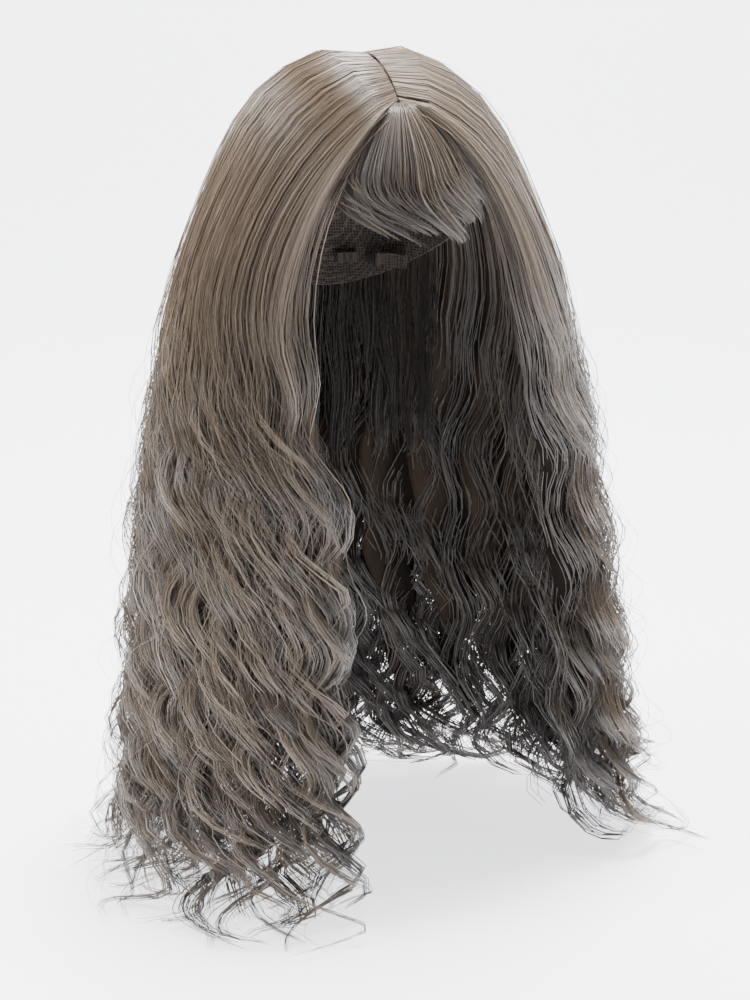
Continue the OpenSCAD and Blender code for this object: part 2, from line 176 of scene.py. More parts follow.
class Tree:
    """Builds a geometry or shader node tree from short calls."""

    def __init__(self, tree: bpy.types.NodeTree) -> None:
        """Keeps the tree.

        Args:
            tree: The node tree to fill.
        """
        self.tree = tree

    def add(self, kind: str, values: dict[str, object] | None = None, **settings: object) -> bpy.types.Node:
        """Adds a node.

        Args:
            kind: Blender's node type name.
            values: Input name to a constant or to another node's output socket.
            **settings: Node properties, set before the inputs.

        Returns:
            The new node.
        """
        node = self.tree.nodes.new(kind)
        for name, value in settings.items():
            setattr(node, name, value)
        for name, value in (values or {}).items():
            self.feed(node, name, value)
        return node

    def feed(self, node: bpy.types.Node, name: str, value: object) -> None:
        """Sets or links one input.

        Args:
            node: The node that has the input.
            name: The input's name, or its name and place such as "Value:1".
            value: A constant or an output socket.
        """
        label, _, place = name.partition(":")
        sockets = [s for s in node.inputs if s.name == label and s.enabled]
        socket = sockets[int(place or 0)]
        if isinstance(value, Socket):
            self.tree.links.new(value, socket)
        else:
            socket.default_value = value

    def out(self, node: bpy.types.Node, name: str = "") -> Socket:
        """Finds an enabled output.

        Args:
            node: The node that has the output.
            name: The output's name, or nothing for the first one.

        Returns:
            The output socket.
        """
        return next(s for s in node.outputs if s.enabled and (not name or s.name == name))

    def calc(self, operation: str, *parts: object) -> Socket:
        """Adds a maths node.

        Args:
            operation: The maths operation.
            *parts: Its inputs in order.

        Returns:
            The result socket.
        """
        values = {f"Value:{i}": part for i, part in enumerate(parts)}
        return self.out(self.add("ShaderNodeMath", values, operation=operation))

    def vector(self, operation: str, first: object, second: object) -> Socket:
        """Adds a vector maths node of two vectors, or a vector and a scale.

        Args:
            operation: The vector operation.
            first: The vector.
            second: The second vector, or the number for SCALE.

        Returns:
            The result socket.
        """
        values = {"Vector:0": first, ("Scale" if operation == "SCALE" else "Vector:1"): second}
        return self.out(self.add("ShaderNodeVectorMath", values, operation=operation))

    def ramp(self, value: object, low: float, high: float, to_low: float, to_high: float) -> Socket:
        """Adds a clamped, smoothed map from one range to another.

        Args:
            value: The value to map.
            low: Its low end.
            high: Its high end.
            to_low: The result at the low end.
            to_high: The result at the high end.

        Returns:
            The result socket.
        """
        values = {"Value": value, "From Min": low, "From Max": high, "To Min": to_low, "To Max": to_high}
        return self.out(self.add("ShaderNodeMapRange", values, interpolation_type="SMOOTHSTEP"))

    def signed(self, value: object) -> Socket:
        """Stretches a value from 0 to 1 so that it runs from -1 to 1.

        Args:
            value: The value.

        Returns:
            The stretched value.
        """
        return self.calc("SUBTRACT", self.calc("MULTIPLY", value, 2.0), 1.0)

    def join(self, x: object, y: object, z: object = 0.0) -> Socket:
        """Joins three numbers into a vector.

        Args:
            x: The first number.
            y: The second.
            z: The third.

        Returns:
            The vector.
        """
        return self.out(self.add("ShaderNodeCombineXYZ", {"X": x, "Y": y, "Z": z}))

    def tone(self, share: object, dark: Colour, light: Colour) -> Socket:
        """Mixes two colours.

        Args:
            share: Share of the light colour.
            dark: The dark colour.
            light: The light colour.

        Returns:
            The mixed colour.
        """
        node = self.add("ShaderNodeMix", {"Factor": share}, data_type="RGBA")
        for socket, colour in zip([s for s in node.inputs if s.type == "RGBA"], (dark, light)):
            socket.default_value = colour
        return self.out(node, "Result")

    def relief(self, height: object, strength: float, distance: float) -> Socket:
        """Adds a bump.

        Args:
            height: Height of the surface, from 0 to 1.
            strength: Strength of the bump.
            distance: Depth of the bump in metres.

        Returns:
            The bent normal.
        """
        values = {"Height": height, "Strength": strength, "Distance": distance}
        return self.out(self.add("ShaderNodeBump", values))

    def noise(self, values: dict[str, object], kind: str = "3D", output: str = "Fac") -> Socket:
        """Adds a noise texture.

        Args:
            values: Its inputs.
            kind: Its number of dimensions.
            output: Fac for a number or Color for three.

        Returns:
            The noise.
        """
        return self.out(self.add("ShaderNodeTexNoise", values, noise_dimensions=kind), output)

    def keep(self, shape: Socket, name: str, value: Socket, domain: str, kind: str = "FLOAT") -> Socket:
        """Stores a value on a shape.

        Args:
            shape: The shape.
            name: Name of the stored value.
            value: The value.
            domain: What the value belongs to.
            kind: Its data type.

        Returns:
            The shape with its stored value.
        """
        values = {"Geometry": shape, "Name": name, "Value": value}
        return self.out(self.add("GeometryNodeStoreNamedAttribute", values, domain=domain, data_type=kind))

    def read(self, name: str, kind: str = "FLOAT") -> Socket:
        """Reads a stored value.

        Args:
            name: Its name.
            kind: Its data type.

        Returns:
            The value.
        """
        node = self.add("GeometryNodeInputNamedAttribute", {"Name": name}, data_type=kind)
        return self.out(node, "Attribute")

    def finish_shape(self, shape: Socket, material: Socket) -> None:
        """Smooths, realizes and dresses a shape and hands it to the tree's output.

        Args:
            shape: The shape.
            material: Its material.
        """
        smooth = self.out(self.add("GeometryNodeSetShadeSmooth", {"Geometry": shape}))
        real = self.out(self.add("GeometryNodeRealizeInstances", {"Geometry": smooth}))
        dressed = self.out(self.add("GeometryNodeSetMaterial", {"Geometry": real, "Material": material}))
        self.add("NodeGroupOutput", {"Geometry": dressed})


def open_group(name: str, inputs: tuple[tuple[str, str, object], ...]) -> Tree:
    """Starts a geometry node tree that takes and gives a shape.

    Args:
        name: The tree's name.
        inputs: Name, socket kind and usual value of each further input.

    Returns:
        The tree.
    """
    group = bpy.data.node_groups.new(name, "GeometryNodeTree")
    group.interface.new_socket("Geometry", in_out="INPUT", socket_type="NodeSocketGeometry")
    for label, kind, value in inputs:
        socket = group.interface.new_socket(label, in_out="INPUT", socket_type=f"NodeSocket{kind}")
        if value is not None:
            socket.default_value = value
    group.interface.new_socket("Geometry", in_out="OUTPUT", socket_type="NodeSocketGeometry")
    return Tree(group)


def open_finish(name: str) -> tuple[bpy.types.Material, Tree, bpy.types.Node]:
    """Starts a material.

    Args:
        name: Its name.

    Returns:
        The material, its node tree and its shader.
    """
    material = bpy.data.materials.new(name)
    material.use_nodes = True
    return material, Tree(material.node_tree), material.node_tree.nodes["Principled BSDF"]


# ---- finishes ------------------------------------------------------------------------


def srgb(red: int, green: int, blue: int) -> Colour:
    """Turns a screen colour into the linear colour that shaders take.

    Args:
        red: Red from 0 to 255.
        green: Green from 0 to 255.
        blue: Blue from 0 to 255.

    Returns:
        Linear red, green, blue and alpha 1.
    """
    shares = [level / 255.0 for level in (red, green, blue)]
    linear = [share / 12.92 if share <= 0.04045 else ((share + 0.055) / 1.055) ** 2.4 for share in shares]
    return (*linear, 1.0)


@dataclass(frozen=True)
class HairFinish:
    """Synthetic hair fibre, coloured strand by strand and from root to tip, with a painted highlight over the
    crown.

    Attributes:
        name: The material's name.
        dark: Its darkest tone.
        light: Its lightest tone.
        crown_painted_highlight: Painted highlight over the crown: its lightness there, as a share of the
            middle's.
        tip_shade: Lightness at the tips, as a share of the middle's.
        root_calm: How much of the tone's spread shows over the crown.
        roughness: Roughness of the fibre.
        streaks: How finely the tone changes from strand to strand.
        sheen: Soft shine at grazing angles.
        specular: Strength of the gloss.
        relief: Strength of the bump, or 0 for none.
    """

    name: str
    dark: Colour
    light: Colour
    crown_painted_highlight: float = 1.5
    tip_shade: float = 0.75
    root_calm: float = 0.6
    roughness: float = 0.33
    streaks: float = 420.0
    sheen: float = 0.1
    specular: float = 0.8
    relief: float = 0.0

    def build(self) -> bpy.types.Material:
        """Builds the material.

        Returns:
            The finished material.
        """
        material, tree, shader = open_finish(self.name)
        where = tree.out(tree.add("ShaderNodeUVMap", uv_map=BAKE_MAP))
        parts = tree.add("ShaderNodeSeparateXYZ", {"Vector": where})
        across, along = tree.out(parts, "X"), tree.out(parts, "Y")
        strand = tree.noise({"W": across, "Scale": self.streaks, "Detail": 2.0}, "1D")
        share = self.share(tree, across, along, strand)
        # Painted highlight: the colour is lightened over the crown, towards the roots.
        crown = tree.ramp(along, 0.1, 0.4, self.crown_painted_highlight, 1.0)
        tip = tree.ramp(along, 0.4, 0.95, 1.0, self.tip_shade)
        colour = tree.tone(share, self.dark, self.light)
        tree.feed(shader, "Base Color", tree.vector("SCALE", colour, tree.calc("MULTIPLY", crown, tip)))
        if self.relief:
            tree.feed(shader, "Normal", tree.relief(strand, self.relief, 1 * MM))
        shader.inputs["Roughness"].default_value = self.roughness
        shader.inputs["Specular IOR Level"].default_value = self.specular
        shader.inputs["Sheen Weight"].default_value = self.sheen
        shader.inputs["Sheen Roughness"].default_value = 0.5
        return material

    def share(self, tree: Tree, across: Socket, along: Socket, strand: Socket) -> Socket:
        """Works out the share of the light tone from the strand, the patch and the wisp.

        Args:
            tree: The material's node tree.
            across: Place across the map, which tells wisps and strands apart.
            along: Place from root to tip.
            strand: Noise from strand to strand.

        Returns:
            The share, calmer over the crown.
        """
        spot = tree.join(tree.calc("MULTIPLY", across, 90.0), tree.calc("MULTIPLY", along, 9.0))
        patch = tree.noise({"Vector": spot, "Scale": 1.0, "Detail": 3.0}, "2D")
        fine = tree.calc("ADD", tree.calc("MULTIPLY", strand, 0.35), tree.calc("MULTIPLY", patch, 0.35))
        # The wisp's tone, carried in across, holds painted shade: dark for the inner layers and the face
        # edge.
        both = tree.calc("ADD", fine, tree.calc("MULTIPLY", across, 0.42))
        calm = tree.ramp(along, 0.05, 0.4, self.root_calm, 1.0)
        usual = 0.6
        off = tree.calc("SUBTRACT", tree.ramp(both, 0.3, 0.78, 0.0, 1.0), usual)
        return tree.calc("MULTIPLY_ADD", off, calm, usual)


# ---- shape of the head and the hanging hair ------------------------------------------


@dataclass(frozen=True)
class Drape:
    """Outlines of the hair, in metres, with the origin at the crown seat.

    Attributes:
        head: Half width, half length and height of the head above its widest level.
        hair_in: Gap from the head to the inner face of the crown hair.
        crown_out: Hair outside the head at its sides, back and top.
        foot_out: How far the hair has spread outside the head at the foot, to side, front, back.
        inner_out: The same for its inner face, to the side and the back.
        top: Height where the hanging hair starts.
        floor: Height of the table on which the tips lie.
        twist: How far the hanging hair turns round the head, in degrees.
        face_half: Turn of the face opening's edges, in degrees.
        side_end: Turn where the back of the hair starts, in degrees.
        crown_end: Angle from straight up where the crown hair ends, in degrees.
        part_front: Front end of the parting, in degrees from straight up.
        part_back: Back end of the parting, in degrees from straight up.
        part_gap: Turn off the parting at its front and back ends, in degrees.
        whorl: Radius of the crown point that the back hair leaves.
        root_grow: Share of the crown over which the hair gains its thickness.
        spread_power: How quickly the outside spreads below the temple level.
        inner_rush: How much sooner the inner face reaches its place at the back.
        lean: How far the tips lean to the wearer's left.
        past_box: How far hair may run past the CAD box before it is drawn in.
        draw_in: Share of what runs further that is taken off.
    """

    head: np.ndarray
    top: float
    floor: float
    hair_in: float = 5.0 * MM
    crown_out: tuple[float, float, float] = (31 * MM, 21 * MM, 13 * MM)
    foot_out: tuple[float, float, float] = (112 * MM, 60 * MM, 53 * MM)
    inner_out: tuple[float, float] = (45 * MM, 15 * MM)
    twist: float = 22.0
    face_half: float = 50.0
    side_end: float = 128.0
    crown_end: float = 80.0
    part_front: float = 36.0
    part_back: float = 22.0
    part_gap: tuple[float, float] = (0.25, 1.6)
    whorl: float = 0.03
    root_grow: float = 0.16
    spread_power: float = 0.6
    inner_rush: float = 6.0
    lean: float = 14 * MM
    past_box: float = 5 * MM
    draw_in: float = 0.75

    @classmethod
    def from_frame(cls) -> Drape:
        """Reads the head's size and the hair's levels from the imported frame.

        Returns:
            The drape of this wig.
        """
        low, high = (np.array(v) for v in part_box("crown_net"))
        net = high[2]
        nape = 1.0 - math.cos(math.radians(RIM_LEVEL + RIM_RISE))
        head = np.array([high[0] - net, high[1] - net, -low[2] / nape])
        _, lock_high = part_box("front_lock_left_1")
        return cls(head=head, top=lock_high[2], floor=cad_box[0][2])

    @property
    def length(self) -> float:
        """Height of the hanging hair.

        Returns:
            The height from the temple level down to the table.
        """
        return self.top - self.floor

    def hold(self, points: np.ndarray) -> np.ndarray:
        """Draws in what runs far past the CAD box at the sides, front and back.

        Args:
            points: Points of hanging hair.

        Returns:
            The points, held close to the box.
        """
        for axis in (0, 1):
            low, high = cad_box[0][axis] - self.past_box, cad_box[1][axis] + self.past_box
            past = points[:, axis] - np.clip(points[:, axis], low, high)
            points[:, axis] -= self.draw_in * past
        return points

    def on_head(self, direction: np.ndarray, grow: np.ndarray) -> np.ndarray:
        """Places points on the head grown outwards.

        Args:
            direction: Unit headings.
            grow: Growth along x, y and z, one row for each heading.

        Returns:
            The points.
        """
        points = (self.head + grow) * direction
        points[..., 2] -= self.head[2]
        return points

    def root_heading(self, turn: float) -> np.ndarray:
        """Finds where the hair of one turn leaves the parting.

        Args:
            turn: Turn at the temples, in degrees.

        Returns:
            A unit heading on the parting or round the crown point.
        """
        side = 1.0 if turn >= 0 else -1.0
        size = abs(turn)
        if size <= self.side_end:
            share = np.clip((size - self.face_half) / (self.side_end - self.face_half), 0.0, 1.0)
            back = math.radians(mix(-self.part_front, self.part_back, share))
            off = math.radians(side * mix(*self.part_gap, share))
            return np.array([math.sin(off), math.sin(back) * math.cos(off), math.cos(back) * math.cos(off)])
        swing = math.radians(turn)
        back = math.radians(self.part_back)
        return unit(np.array([
            self.whorl * math.sin(swing),
            math.sin(back) - self.whorl * math.cos(swing),
            math.cos(back) - 0.4 * self.whorl]))

    def crown(self, turn: float, depth: float, part: np.ndarray) -> np.ndarray:
        """Follows the hair over the crown.

        Args:
            turn: Turn at the temples, in degrees.
            depth: 0 next to the cap, 1 at the outside.
            part: Shares of the way from the parting to the temple level.

        Returns:
            One point for each part.
        """
        way = arc_between(self.root_heading(turn), heading(self.crown_end, turn), part)
        level = mix(0.1 + 0.25 * depth, depth, ease(part / self.root_grow))[:, None]
        grow = mix(self.hair_in, np.array(self.crown_out), level)
        return self.on_head(way, grow)

    def outline(self, turn: np.ndarray, depth: float, fall: np.ndarray) -> np.ndarray:
        """Half width and half length of the hanging hair.

        Args:
            turn: Turn of each point, in degrees.
            depth: 0 at the inner face, 1 at the outside.
            fall: 0 at the temple level, 1 at the foot.

        Returns:
            An array of x and y half sizes.
        """
        held = np.clip(fall, 0.0, 1.0)
        grown = held ** self.spread_power
        front = np.cos(np.radians(turn)) > 0
        foot_y = np.where(front, self.foot_out[1], self.foot_out[2])
        out = np.stack([
            self.head[0] + mix(self.crown_out[0], self.foot_out[0], grown),
            self.head[1] + mix(self.crown_out[1], foot_y, grown)], axis=-1)
        rushed = np.sqrt(np.minimum(held * self.inner_rush, 1))
        gap = self.hair_in + 2 * MM
        inner = np.stack([
            self.head[0] + mix(gap, self.inner_out[0], np.sqrt(held)),
            self.head[1] + mix(gap, self.inner_out[1], rushed)], axis=-1)
        return mix(inner, out, depth)


def soften(points: np.ndarray, join: float, reach: float, passes: int = 5) -> np.ndarray:
    """Rounds off a bend in a line.

    Args:
        points: The line's points.
        join: Index where the line bends.
        reach: How many points to each side are drawn.
        passes: How often the points are drawn towards their neighbours.

    Returns:
        The smoothed points.
    """
    pull = np.exp(-(((np.arange(1, len(points) - 1) - join) / reach) ** 2))[:, None]
    for _ in range(passes):
        middle = (points[:-2] + 2 * points[1:-1] + points[2:]) / 4
        points[1:-1] += (middle - points[1:-1]) * pull
    return points


@dataclass(frozen=True)
class Wave:
    """How one wisp waves on its way down.

    Attributes:
        phase: Start of the wave, in turns.
        period: Length of one wave.
        side: Swing to the side.
        out: Swing in and out.
        reach: Length of the wisp below the temple level.
        splay: Turn of its tip on the table, in degrees from straight outwards.
        curl: How far the lying tip bends, in degrees.
        lie: Height of the lying tip above the table.
        drift: Slow wandering to the side.
        drift_phase: Start of that wandering, in turns.
    """

    phase: float
    period: float
    side: float
    out: float
    reach: float
    splay: float
    curl: float
    lie: float = 2 * MM
    drift: float = 0.0
    drift_phase: float = 0.0


@dataclass(frozen=True)
class Hang:
    """How every wisp hangs and lies down, in metres and in shares of the fall.

    Attributes:
        first: Length below the temple level at the first point.
        dense: Power that draws the points towards the tip.
        bend: Radius at which a wisp turns from hanging to lying on the table.
        twist_from: Fall where the curtains start to turn.
        twist_over: Share of the fall over which they turn.
        fade_over: Share of the fall over which the wearer's right edge by the face draws back.
        calm: Length over which the wave grows from nothing.
        wave_top: Size of the wave below that, as a share of the full one.
        wave_grow: How much of it comes on the way down.
        wave_foot: How much more it swells near the table.
        foot_from: Fall where that starts.
        foot_over: Share of the fall over which it comes.
        quicken: How much shorter the waves are at the foot.
        drift_length: Length of one slow wandering.
        drift_calm: Length over which the wandering grows.
        flat_hold: How much of the swing a lying tip loses.
        curl_over: Length over which a lying tip bends.
        lean_power: How late the lean comes.
        lie_power: How late a tip rises to its own height above the table.
        round_off: Points to each side of the temple level that are smoothed.
    """

    first: float = 6 * MM
    dense: float = 0.8
    bend: float = 32 * MM
    twist_from: float = 0.07
    twist_over: float = 0.44
    fade_over: float = 0.5
    calm: float = 0.18
    wave_top: float = 0.5
    wave_grow: float = 0.6
    wave_foot: float = 0.5
    foot_from: float = 0.75
    foot_over: float = 0.2
    quicken: float = 0.12
    drift_length: float = 0.26
    drift_calm: float = 0.2
    flat_hold: float = 0.5
    curl_over: float = 0.06
    lean_power: float = 1.5
    lie_power: float = 8.0
    round_off: float = 2.6


@dataclass(frozen=True)
class Strand:
    """The strands of one kind of wisp.

    Attributes:
        count: Number of strands.
        girth: Thickness as a share of the style's.
        frizz: Frizz as a share of the style's.
        wide: Half of the wisp's width, as a share of its cell.
        deep: Half of its depth, as a share of the hair's thickness.
    """

    count: int
    girth: float = 1.0
    frizz: float = 1.0
    wide: float = 0.6
    deep: float = 0.16


@dataclass
class Wisp:
    """The centre line of one bundle of strands and its spread at each point.

    Attributes:
        points: The centre line.
        across: Half its spread sideways at each point.
        lift: Half its spread outwards at each point.
        along: Share of the length at each point.
        tight: Taper of the spread at each point.
        kind: Its strands.
        tone: Its tone, from 0 for dark to 1 for light: random on the outer wisps, and dark as painted shade
            on the inner layers and the face edge.
    """

    points: np.ndarray
    across: np.ndarray
    lift: np.ndarray
    along: np.ndarray
    tight: np.ndarray
    kind: Strand
    tone: float


class Groom:
    """Lays out wisps over the crown and down the hanging locks."""

    def __init__(self, drape: Drape, crown_steps: int, fall_steps: int) -> None:
        """Keeps the outlines and the sampling.

        Args:
            drape: The hair's outlines.
            crown_steps: Points from the parting to the temple level.
            fall_steps: Points below it.
        """
        self.drape = drape
        self.hang = Hang()
        self.crown_steps = crown_steps
        self.fall_steps = fall_steps

    def line(self, turn: float, depth: float, wave: Wave, start: float = 0.0) -> np.ndarray:
        """Runs one line from the parting to the tip.

        Args:
            turn: Turn at the temples, in degrees.
            depth: 0 at the inner face, 1 at the outside.
            wave: How the line waves.
            start: Share of the crown that is left out, from the parting.

        Returns:
            The line's points.
        """
        over = self.drape.crown(turn, depth, np.linspace(start, 1.0, self.crown_steps))
        below = self.drape.hold(self.below(turn, depth, wave))
        return soften(np.concatenate([over, below]), len(over) - 0.5, self.hang.round_off)

    def below(self, turn: float, depth: float, wave: Wave) -> np.ndarray:
        """Runs the part of a line that hangs below the temple level and lies on the table.

        Args:
            turn: Turn at the temples, in degrees.
            depth: 0 at the inner face, 1 at the outside.
            wave: How the line waves.

        Returns:
            Its points.
        """
        drape, hang = self.drape, self.hang
        run = mix(hang.first, wave.reach, np.linspace(0.0, 1.0, self.fall_steps) ** hang.dense)
        straight = drape.length - hang.bend
        turned = np.clip((run - straight) / hang.bend, 0.0, math.pi / 2)
        past = np.maximum(run - straight - hang.bend * math.pi / 2, 0.0)
        down = np.minimum(run, straight) + hang.bend * np.sin(turned)
        away = hang.bend * (1 - np.cos(turned)) + past
        fall = down / drape.length
        flat = turned / (math.pi / 2)

        extra = max(drape.face_half + turn, 0.0) if turn < 0 else 0.0
        twisted = drape.twist * ease((fall - hang.twist_from) / hang.twist_over)
        now = turn - extra * ease(fall / hang.fade_over) + twisted
        angle = np.radians(now)
        size = drape.outline(now, depth, fall)
        sideways, outwards = self.swing(run, fall, flat, wave)
        out_x, out_y = np.sin(angle), -np.cos(angle)
        curl = wave.curl * np.clip(past / hang.curl_over, 0, 1)
        bent = np.radians(wave.splay + curl) * (turned > 0)
        way_x = out_x * np.cos(bent) - out_y * np.sin(bent)
        way_y = out_x * np.sin(bent) + out_y * np.cos(bent)

        x = size[:, 0] * np.sin(angle) + out_x * outwards + way_x * away - out_y * sideways
        x = x + drape.lean * np.clip(fall, 0.0, 1.0) ** hang.lean_power
        y = -size[:, 1] * np.cos(angle) + out_y * outwards + way_y * away + out_x * sideways
        z = drape.top - down + wave.lie * fall ** hang.lie_power
        return np.stack([x, y, z], axis=-1)

    def swing(self, run: np.ndarray, fall: np.ndarray, flat: np.ndarray, wave: Wave) -> list[np.ndarray]:
        """Swings a line from side to side and in and out.

        Args:
            run: Length from the temple level.
            fall: 0 at the temple level, 1 at the foot.
            flat: 0 where the line hangs, 1 where it lies.
            wave: How the line waves.

        Returns:
            The swing to the side and the swing outwards.
        """
        hang = self.hang
        beat = 2 * math.pi * (wave.phase + run / wave.period * (1 + hang.quicken * fall))
        foot = 1 + hang.wave_foot * ease((fall - hang.foot_from) / hang.foot_over)
        swell = ease(run / hang.calm) * (hang.wave_top + hang.wave_grow * fall) * foot
        slow = 2 * math.pi * (wave.drift_phase + run / hang.drift_length)
        wander = np.sin(slow) * ease(run / hang.drift_calm)
        sideways = (wave.side * swell * np.sin(beat) + wave.drift * wander) * (1 - hang.flat_hold * flat)
        outwards = wave.out * swell * np.cos(beat) * (1 - flat)
        return [sideways, outwards]

    def wisp(
            self, turn: float, depth: float, wave: Wave, cell: float, kind: Strand, dice: np.random.Generator,
            tones_and_shade: tuple[float, float], start: float = 0.0) -> Wisp:
        """Builds a wisp with its spread sideways and outwards.

        Args:
            turn: Turn at the temples, in degrees.
            depth: Place between the inner face and the outside.
            wave: How the wisp waves.
            cell: Width that the wisp has to fill, in degrees at the temples.
            kind: Its strands.
            dice: Random numbers for its tone and tip.
            tones_and_shade: Darkest and lightest tone; dark as painted shade for inner and edge wisps.
            start: Share of the crown that is left out.

        Returns:
            The wisp.
        """
        centre = self.line(turn, depth, wave, start)
        sides = [self.line(turn + step, depth, wave, start) for step in (0.5, -0.5)]
        faces = [self.line(turn, depth + step, wave, start) for step in (0.05, -0.05)]
        across = (sides[0] - sides[1]) * cell * kind.wide
        lift = (faces[0] - faces[1]) / 0.1 * kind.deep
        return bundle(centre, across, lift, kind, dice, tones_and_shade)


def bundle(centre: np.ndarray, across: np.ndarray, lift: np.ndarray, kind: Strand, dice: np.random.Generator,
           tones_and_shade: tuple[float, float] = (0.0, 1.0), full_to: float = 0.45) -> Wisp:
    """Measures a centre line, tapers its spread towards the tip and chooses its tone.

    Args:
        centre: The centre line.
        across: Half the spread sideways at each point.
        lift: Half the spread outwards at each point.
        kind: The strands.
        dice: Random numbers for its tone and tip.
        tones_and_shade: Darkest and lightest tone; dark as painted shade for inner and edge wisps.
        full_to: Share of the length over which the wisp keeps its full width.

    Returns:
        The wisp.
    """
    along = np.concatenate([[0.0], np.cumsum(np.linalg.norm(np.diff(centre, axis=0), axis=1))])
    along /= along[-1]
    tight = mix(1.15, float(dice.uniform(0.12, 0.6)), ease((along - full_to) / (1 - full_to)))
    return Wisp(centre, across, lift, along, tight, kind, float(dice.uniform(*tones_and_shade)))


# ---- strands -------------------------------------------------------------------------


def strand_tree() -> bpy.types.GeometryNodeTree:
    """Builds the node tree that turns wisp lines into strands.

    Returns:
        A tree with inputs Seed, Thickness, Frizz, Frizz Size, Stray, Floor and Finish.
    """
    t = open_group("strand_groom", (
        ("Seed", "Int", 1), ("Thickness", "Float", 0.3 * MM), ("Frizz", "Float", 2 * MM),
        ("Frizz Size", "Float", 14.0), ("Stray", "Float", 0.1), ("Floor", "Float", -1.0),
        ("Finish", "Material", None)))
    given = t.add("NodeGroupInput").outputs
    curve = t.out(t.add("GeometryNodeMeshToCurve", {"Mesh": given["Geometry"]}))
    amount = t.read("amount", "INT")
    copies = t.add("GeometryNodeDuplicateElements", {"Geometry": curve, "Amount": amount}, domain="SPLINE")
    shape = t.out(copies, "Geometry")
    for step, name in enumerate(STRAND_DICE):
        seed = t.calc("ADD", given["Seed"], float(step * SEED_STEP))
        dice = t.add("FunctionNodeRandomValue", {"Min": 0.0, "Max": 1.0, "Seed": seed}, data_type="FLOAT")
        shape = t.keep(shape, name, t.out(dice), "CURVE")
    stray = t.calc("ADD", 1.0, t.calc("MULTIPLY", t.calc("POWER", t.read("dice_size"), 6.0), given["Stray"]))
    shape = spread_strands(t, shape, given, stray)
    shape = lay_on_floor(t, shape, given)
    ends = t.calc("SUBTRACT", 1.0, t.calc("MULTIPLY", t.calc("POWER", t.read("dice_length"), 2.0), 0.2))
    cut = t.out(t.add("GeometryNodeTrimCurve", {"Curve": shape, "End": ends}, mode="FACTOR"))
    t.finish_shape(thicken(t, cut, given), given["Finish"])
    return t.tree


def spread_strands(t: Tree, shape: Socket, given: bpy.types.NodeOutputs, stray: Socket) -> Socket:
    """Spreads a wisp's strands across it and makes them frizzy.

    Args:
        t: The node tree.
        shape: The strands, still all on the centre line.
        given: The tree's inputs.
        stray: How far each strand strays, as a share of the usual spread.

    Returns:
        The spread strands.
    """
    spread = t.calc("MULTIPLY", t.read("tight"), stray)
    side = t.calc("MULTIPLY", t.signed(t.read("dice_side")), spread)
    rise = t.calc("MULTIPLY", t.signed(t.read("dice_lift")), spread)
    across = t.vector("SCALE", t.read("across", "FLOAT_VECTOR"), side)
    lift = t.vector("SCALE", t.read("lift", "FLOAT_VECTOR"), rise)
    noise = t.noise({
        "Vector": t.out(t.add("GeometryNodeInputPosition")), "W": t.calc("MULTIPLY", t.read("strand"), 40.0),
        "Scale": given["Frizz Size"], "Detail": 1.0}, "4D", "Color")
    loose = t.calc("MULTIPLY", t.ramp(t.read("along"), 0.16, 0.6, 0.06, 1.0), given["Frizz"])
    loose = t.calc("MULTIPLY", t.calc("MULTIPLY", loose, stray), t.read("frizz"))
    centred = t.vector("SUBTRACT", noise, (0.5, 0.5, 0.5))
    fuzz = t.vector("SCALE", centred, t.calc("MULTIPLY", loose, 2.0))
    offset = t.vector("ADD", t.vector("ADD", across, lift), fuzz)
    return t.out(t.add("GeometryNodeSetPosition", {"Geometry": shape, "Offset": offset}))


def lay_on_floor(t: Tree, shape: Socket, given: bpy.types.NodeOutputs) -> Socket:
    """Lifts what hangs below the floor onto it, each strand to its own height.

    Args:
        t: The node tree.
        shape: The strands.
        given: The tree's inputs.

    Returns:
        The strands, none of them below the floor.
    """
    parts = t.add("ShaderNodeSeparateXYZ", {"Vector": t.out(t.add("GeometryNodeInputPosition"))})
    floor = t.calc("ADD", given["Floor"], t.calc("MULTIPLY", t.read("dice_size"), 2 * MM))
    above = t.join(t.out(parts, "X"), t.out(parts, "Y"), t.calc("MAXIMUM", t.out(parts, "Z"), floor))
    return t.out(t.add("GeometryNodeSetPosition", {"Geometry": shape, "Position": above}))


def thicken(t: Tree, shape: Socket, given: bpy.types.NodeOutputs) -> Socket:
    """Turns strand lines into thin three-sided tubes with their map.

    Args:
        t: The node tree.
        shape: The strand lines.
        given: The tree's inputs.

    Returns:
        The tubes.
    """
    sides = 3
    circle = t.add("GeometryNodeCurvePrimitiveCircle", {"Resolution": sides, "Radius": 1.0}, mode="RADIUS")
    facet = t.calc("DIVIDE", t.out(t.add("GeometryNodeInputIndex")), float(sides))
    rim = t.keep(t.out(circle, "Curve"), "facet", facet, "POINT")
    along = t.read("along")
    girth = t.calc("MULTIPLY", t.ramp(along, 0.3, 0.8, 1.0, 1.35), t.ramp(along, 0.88, 1.0, 1.0, 0.4))
    girth = t.calc("MULTIPLY", girth, t.calc("ADD", 0.65, t.calc("MULTIPLY", t.read("dice_size"), 0.6)))
    girth = t.calc("MULTIPLY", t.calc("MULTIPLY", girth, t.read("girth")), given["Thickness"])
    tube = t.out(t.add("GeometryNodeCurveToMesh", {
        "Curve": shape, "Profile Curve": rim, "Scale": girth, "Fill Caps": True}))
    # The map's column carries each wisp's tone, including the painted shade of the inner layers and the face
    # edge.
    shares = {"strand": 0.24, "facet": 0.01, "tone": 0.75}
    strand, facet, tone = (t.calc("MULTIPLY", t.read(key), share) for key, share in shares.items())
    column = t.calc("ADD", tone, t.calc("ADD", strand, facet))
    return t.keep(tube, BAKE_MAP, t.join(column, along), "CORNER", "FLOAT2")


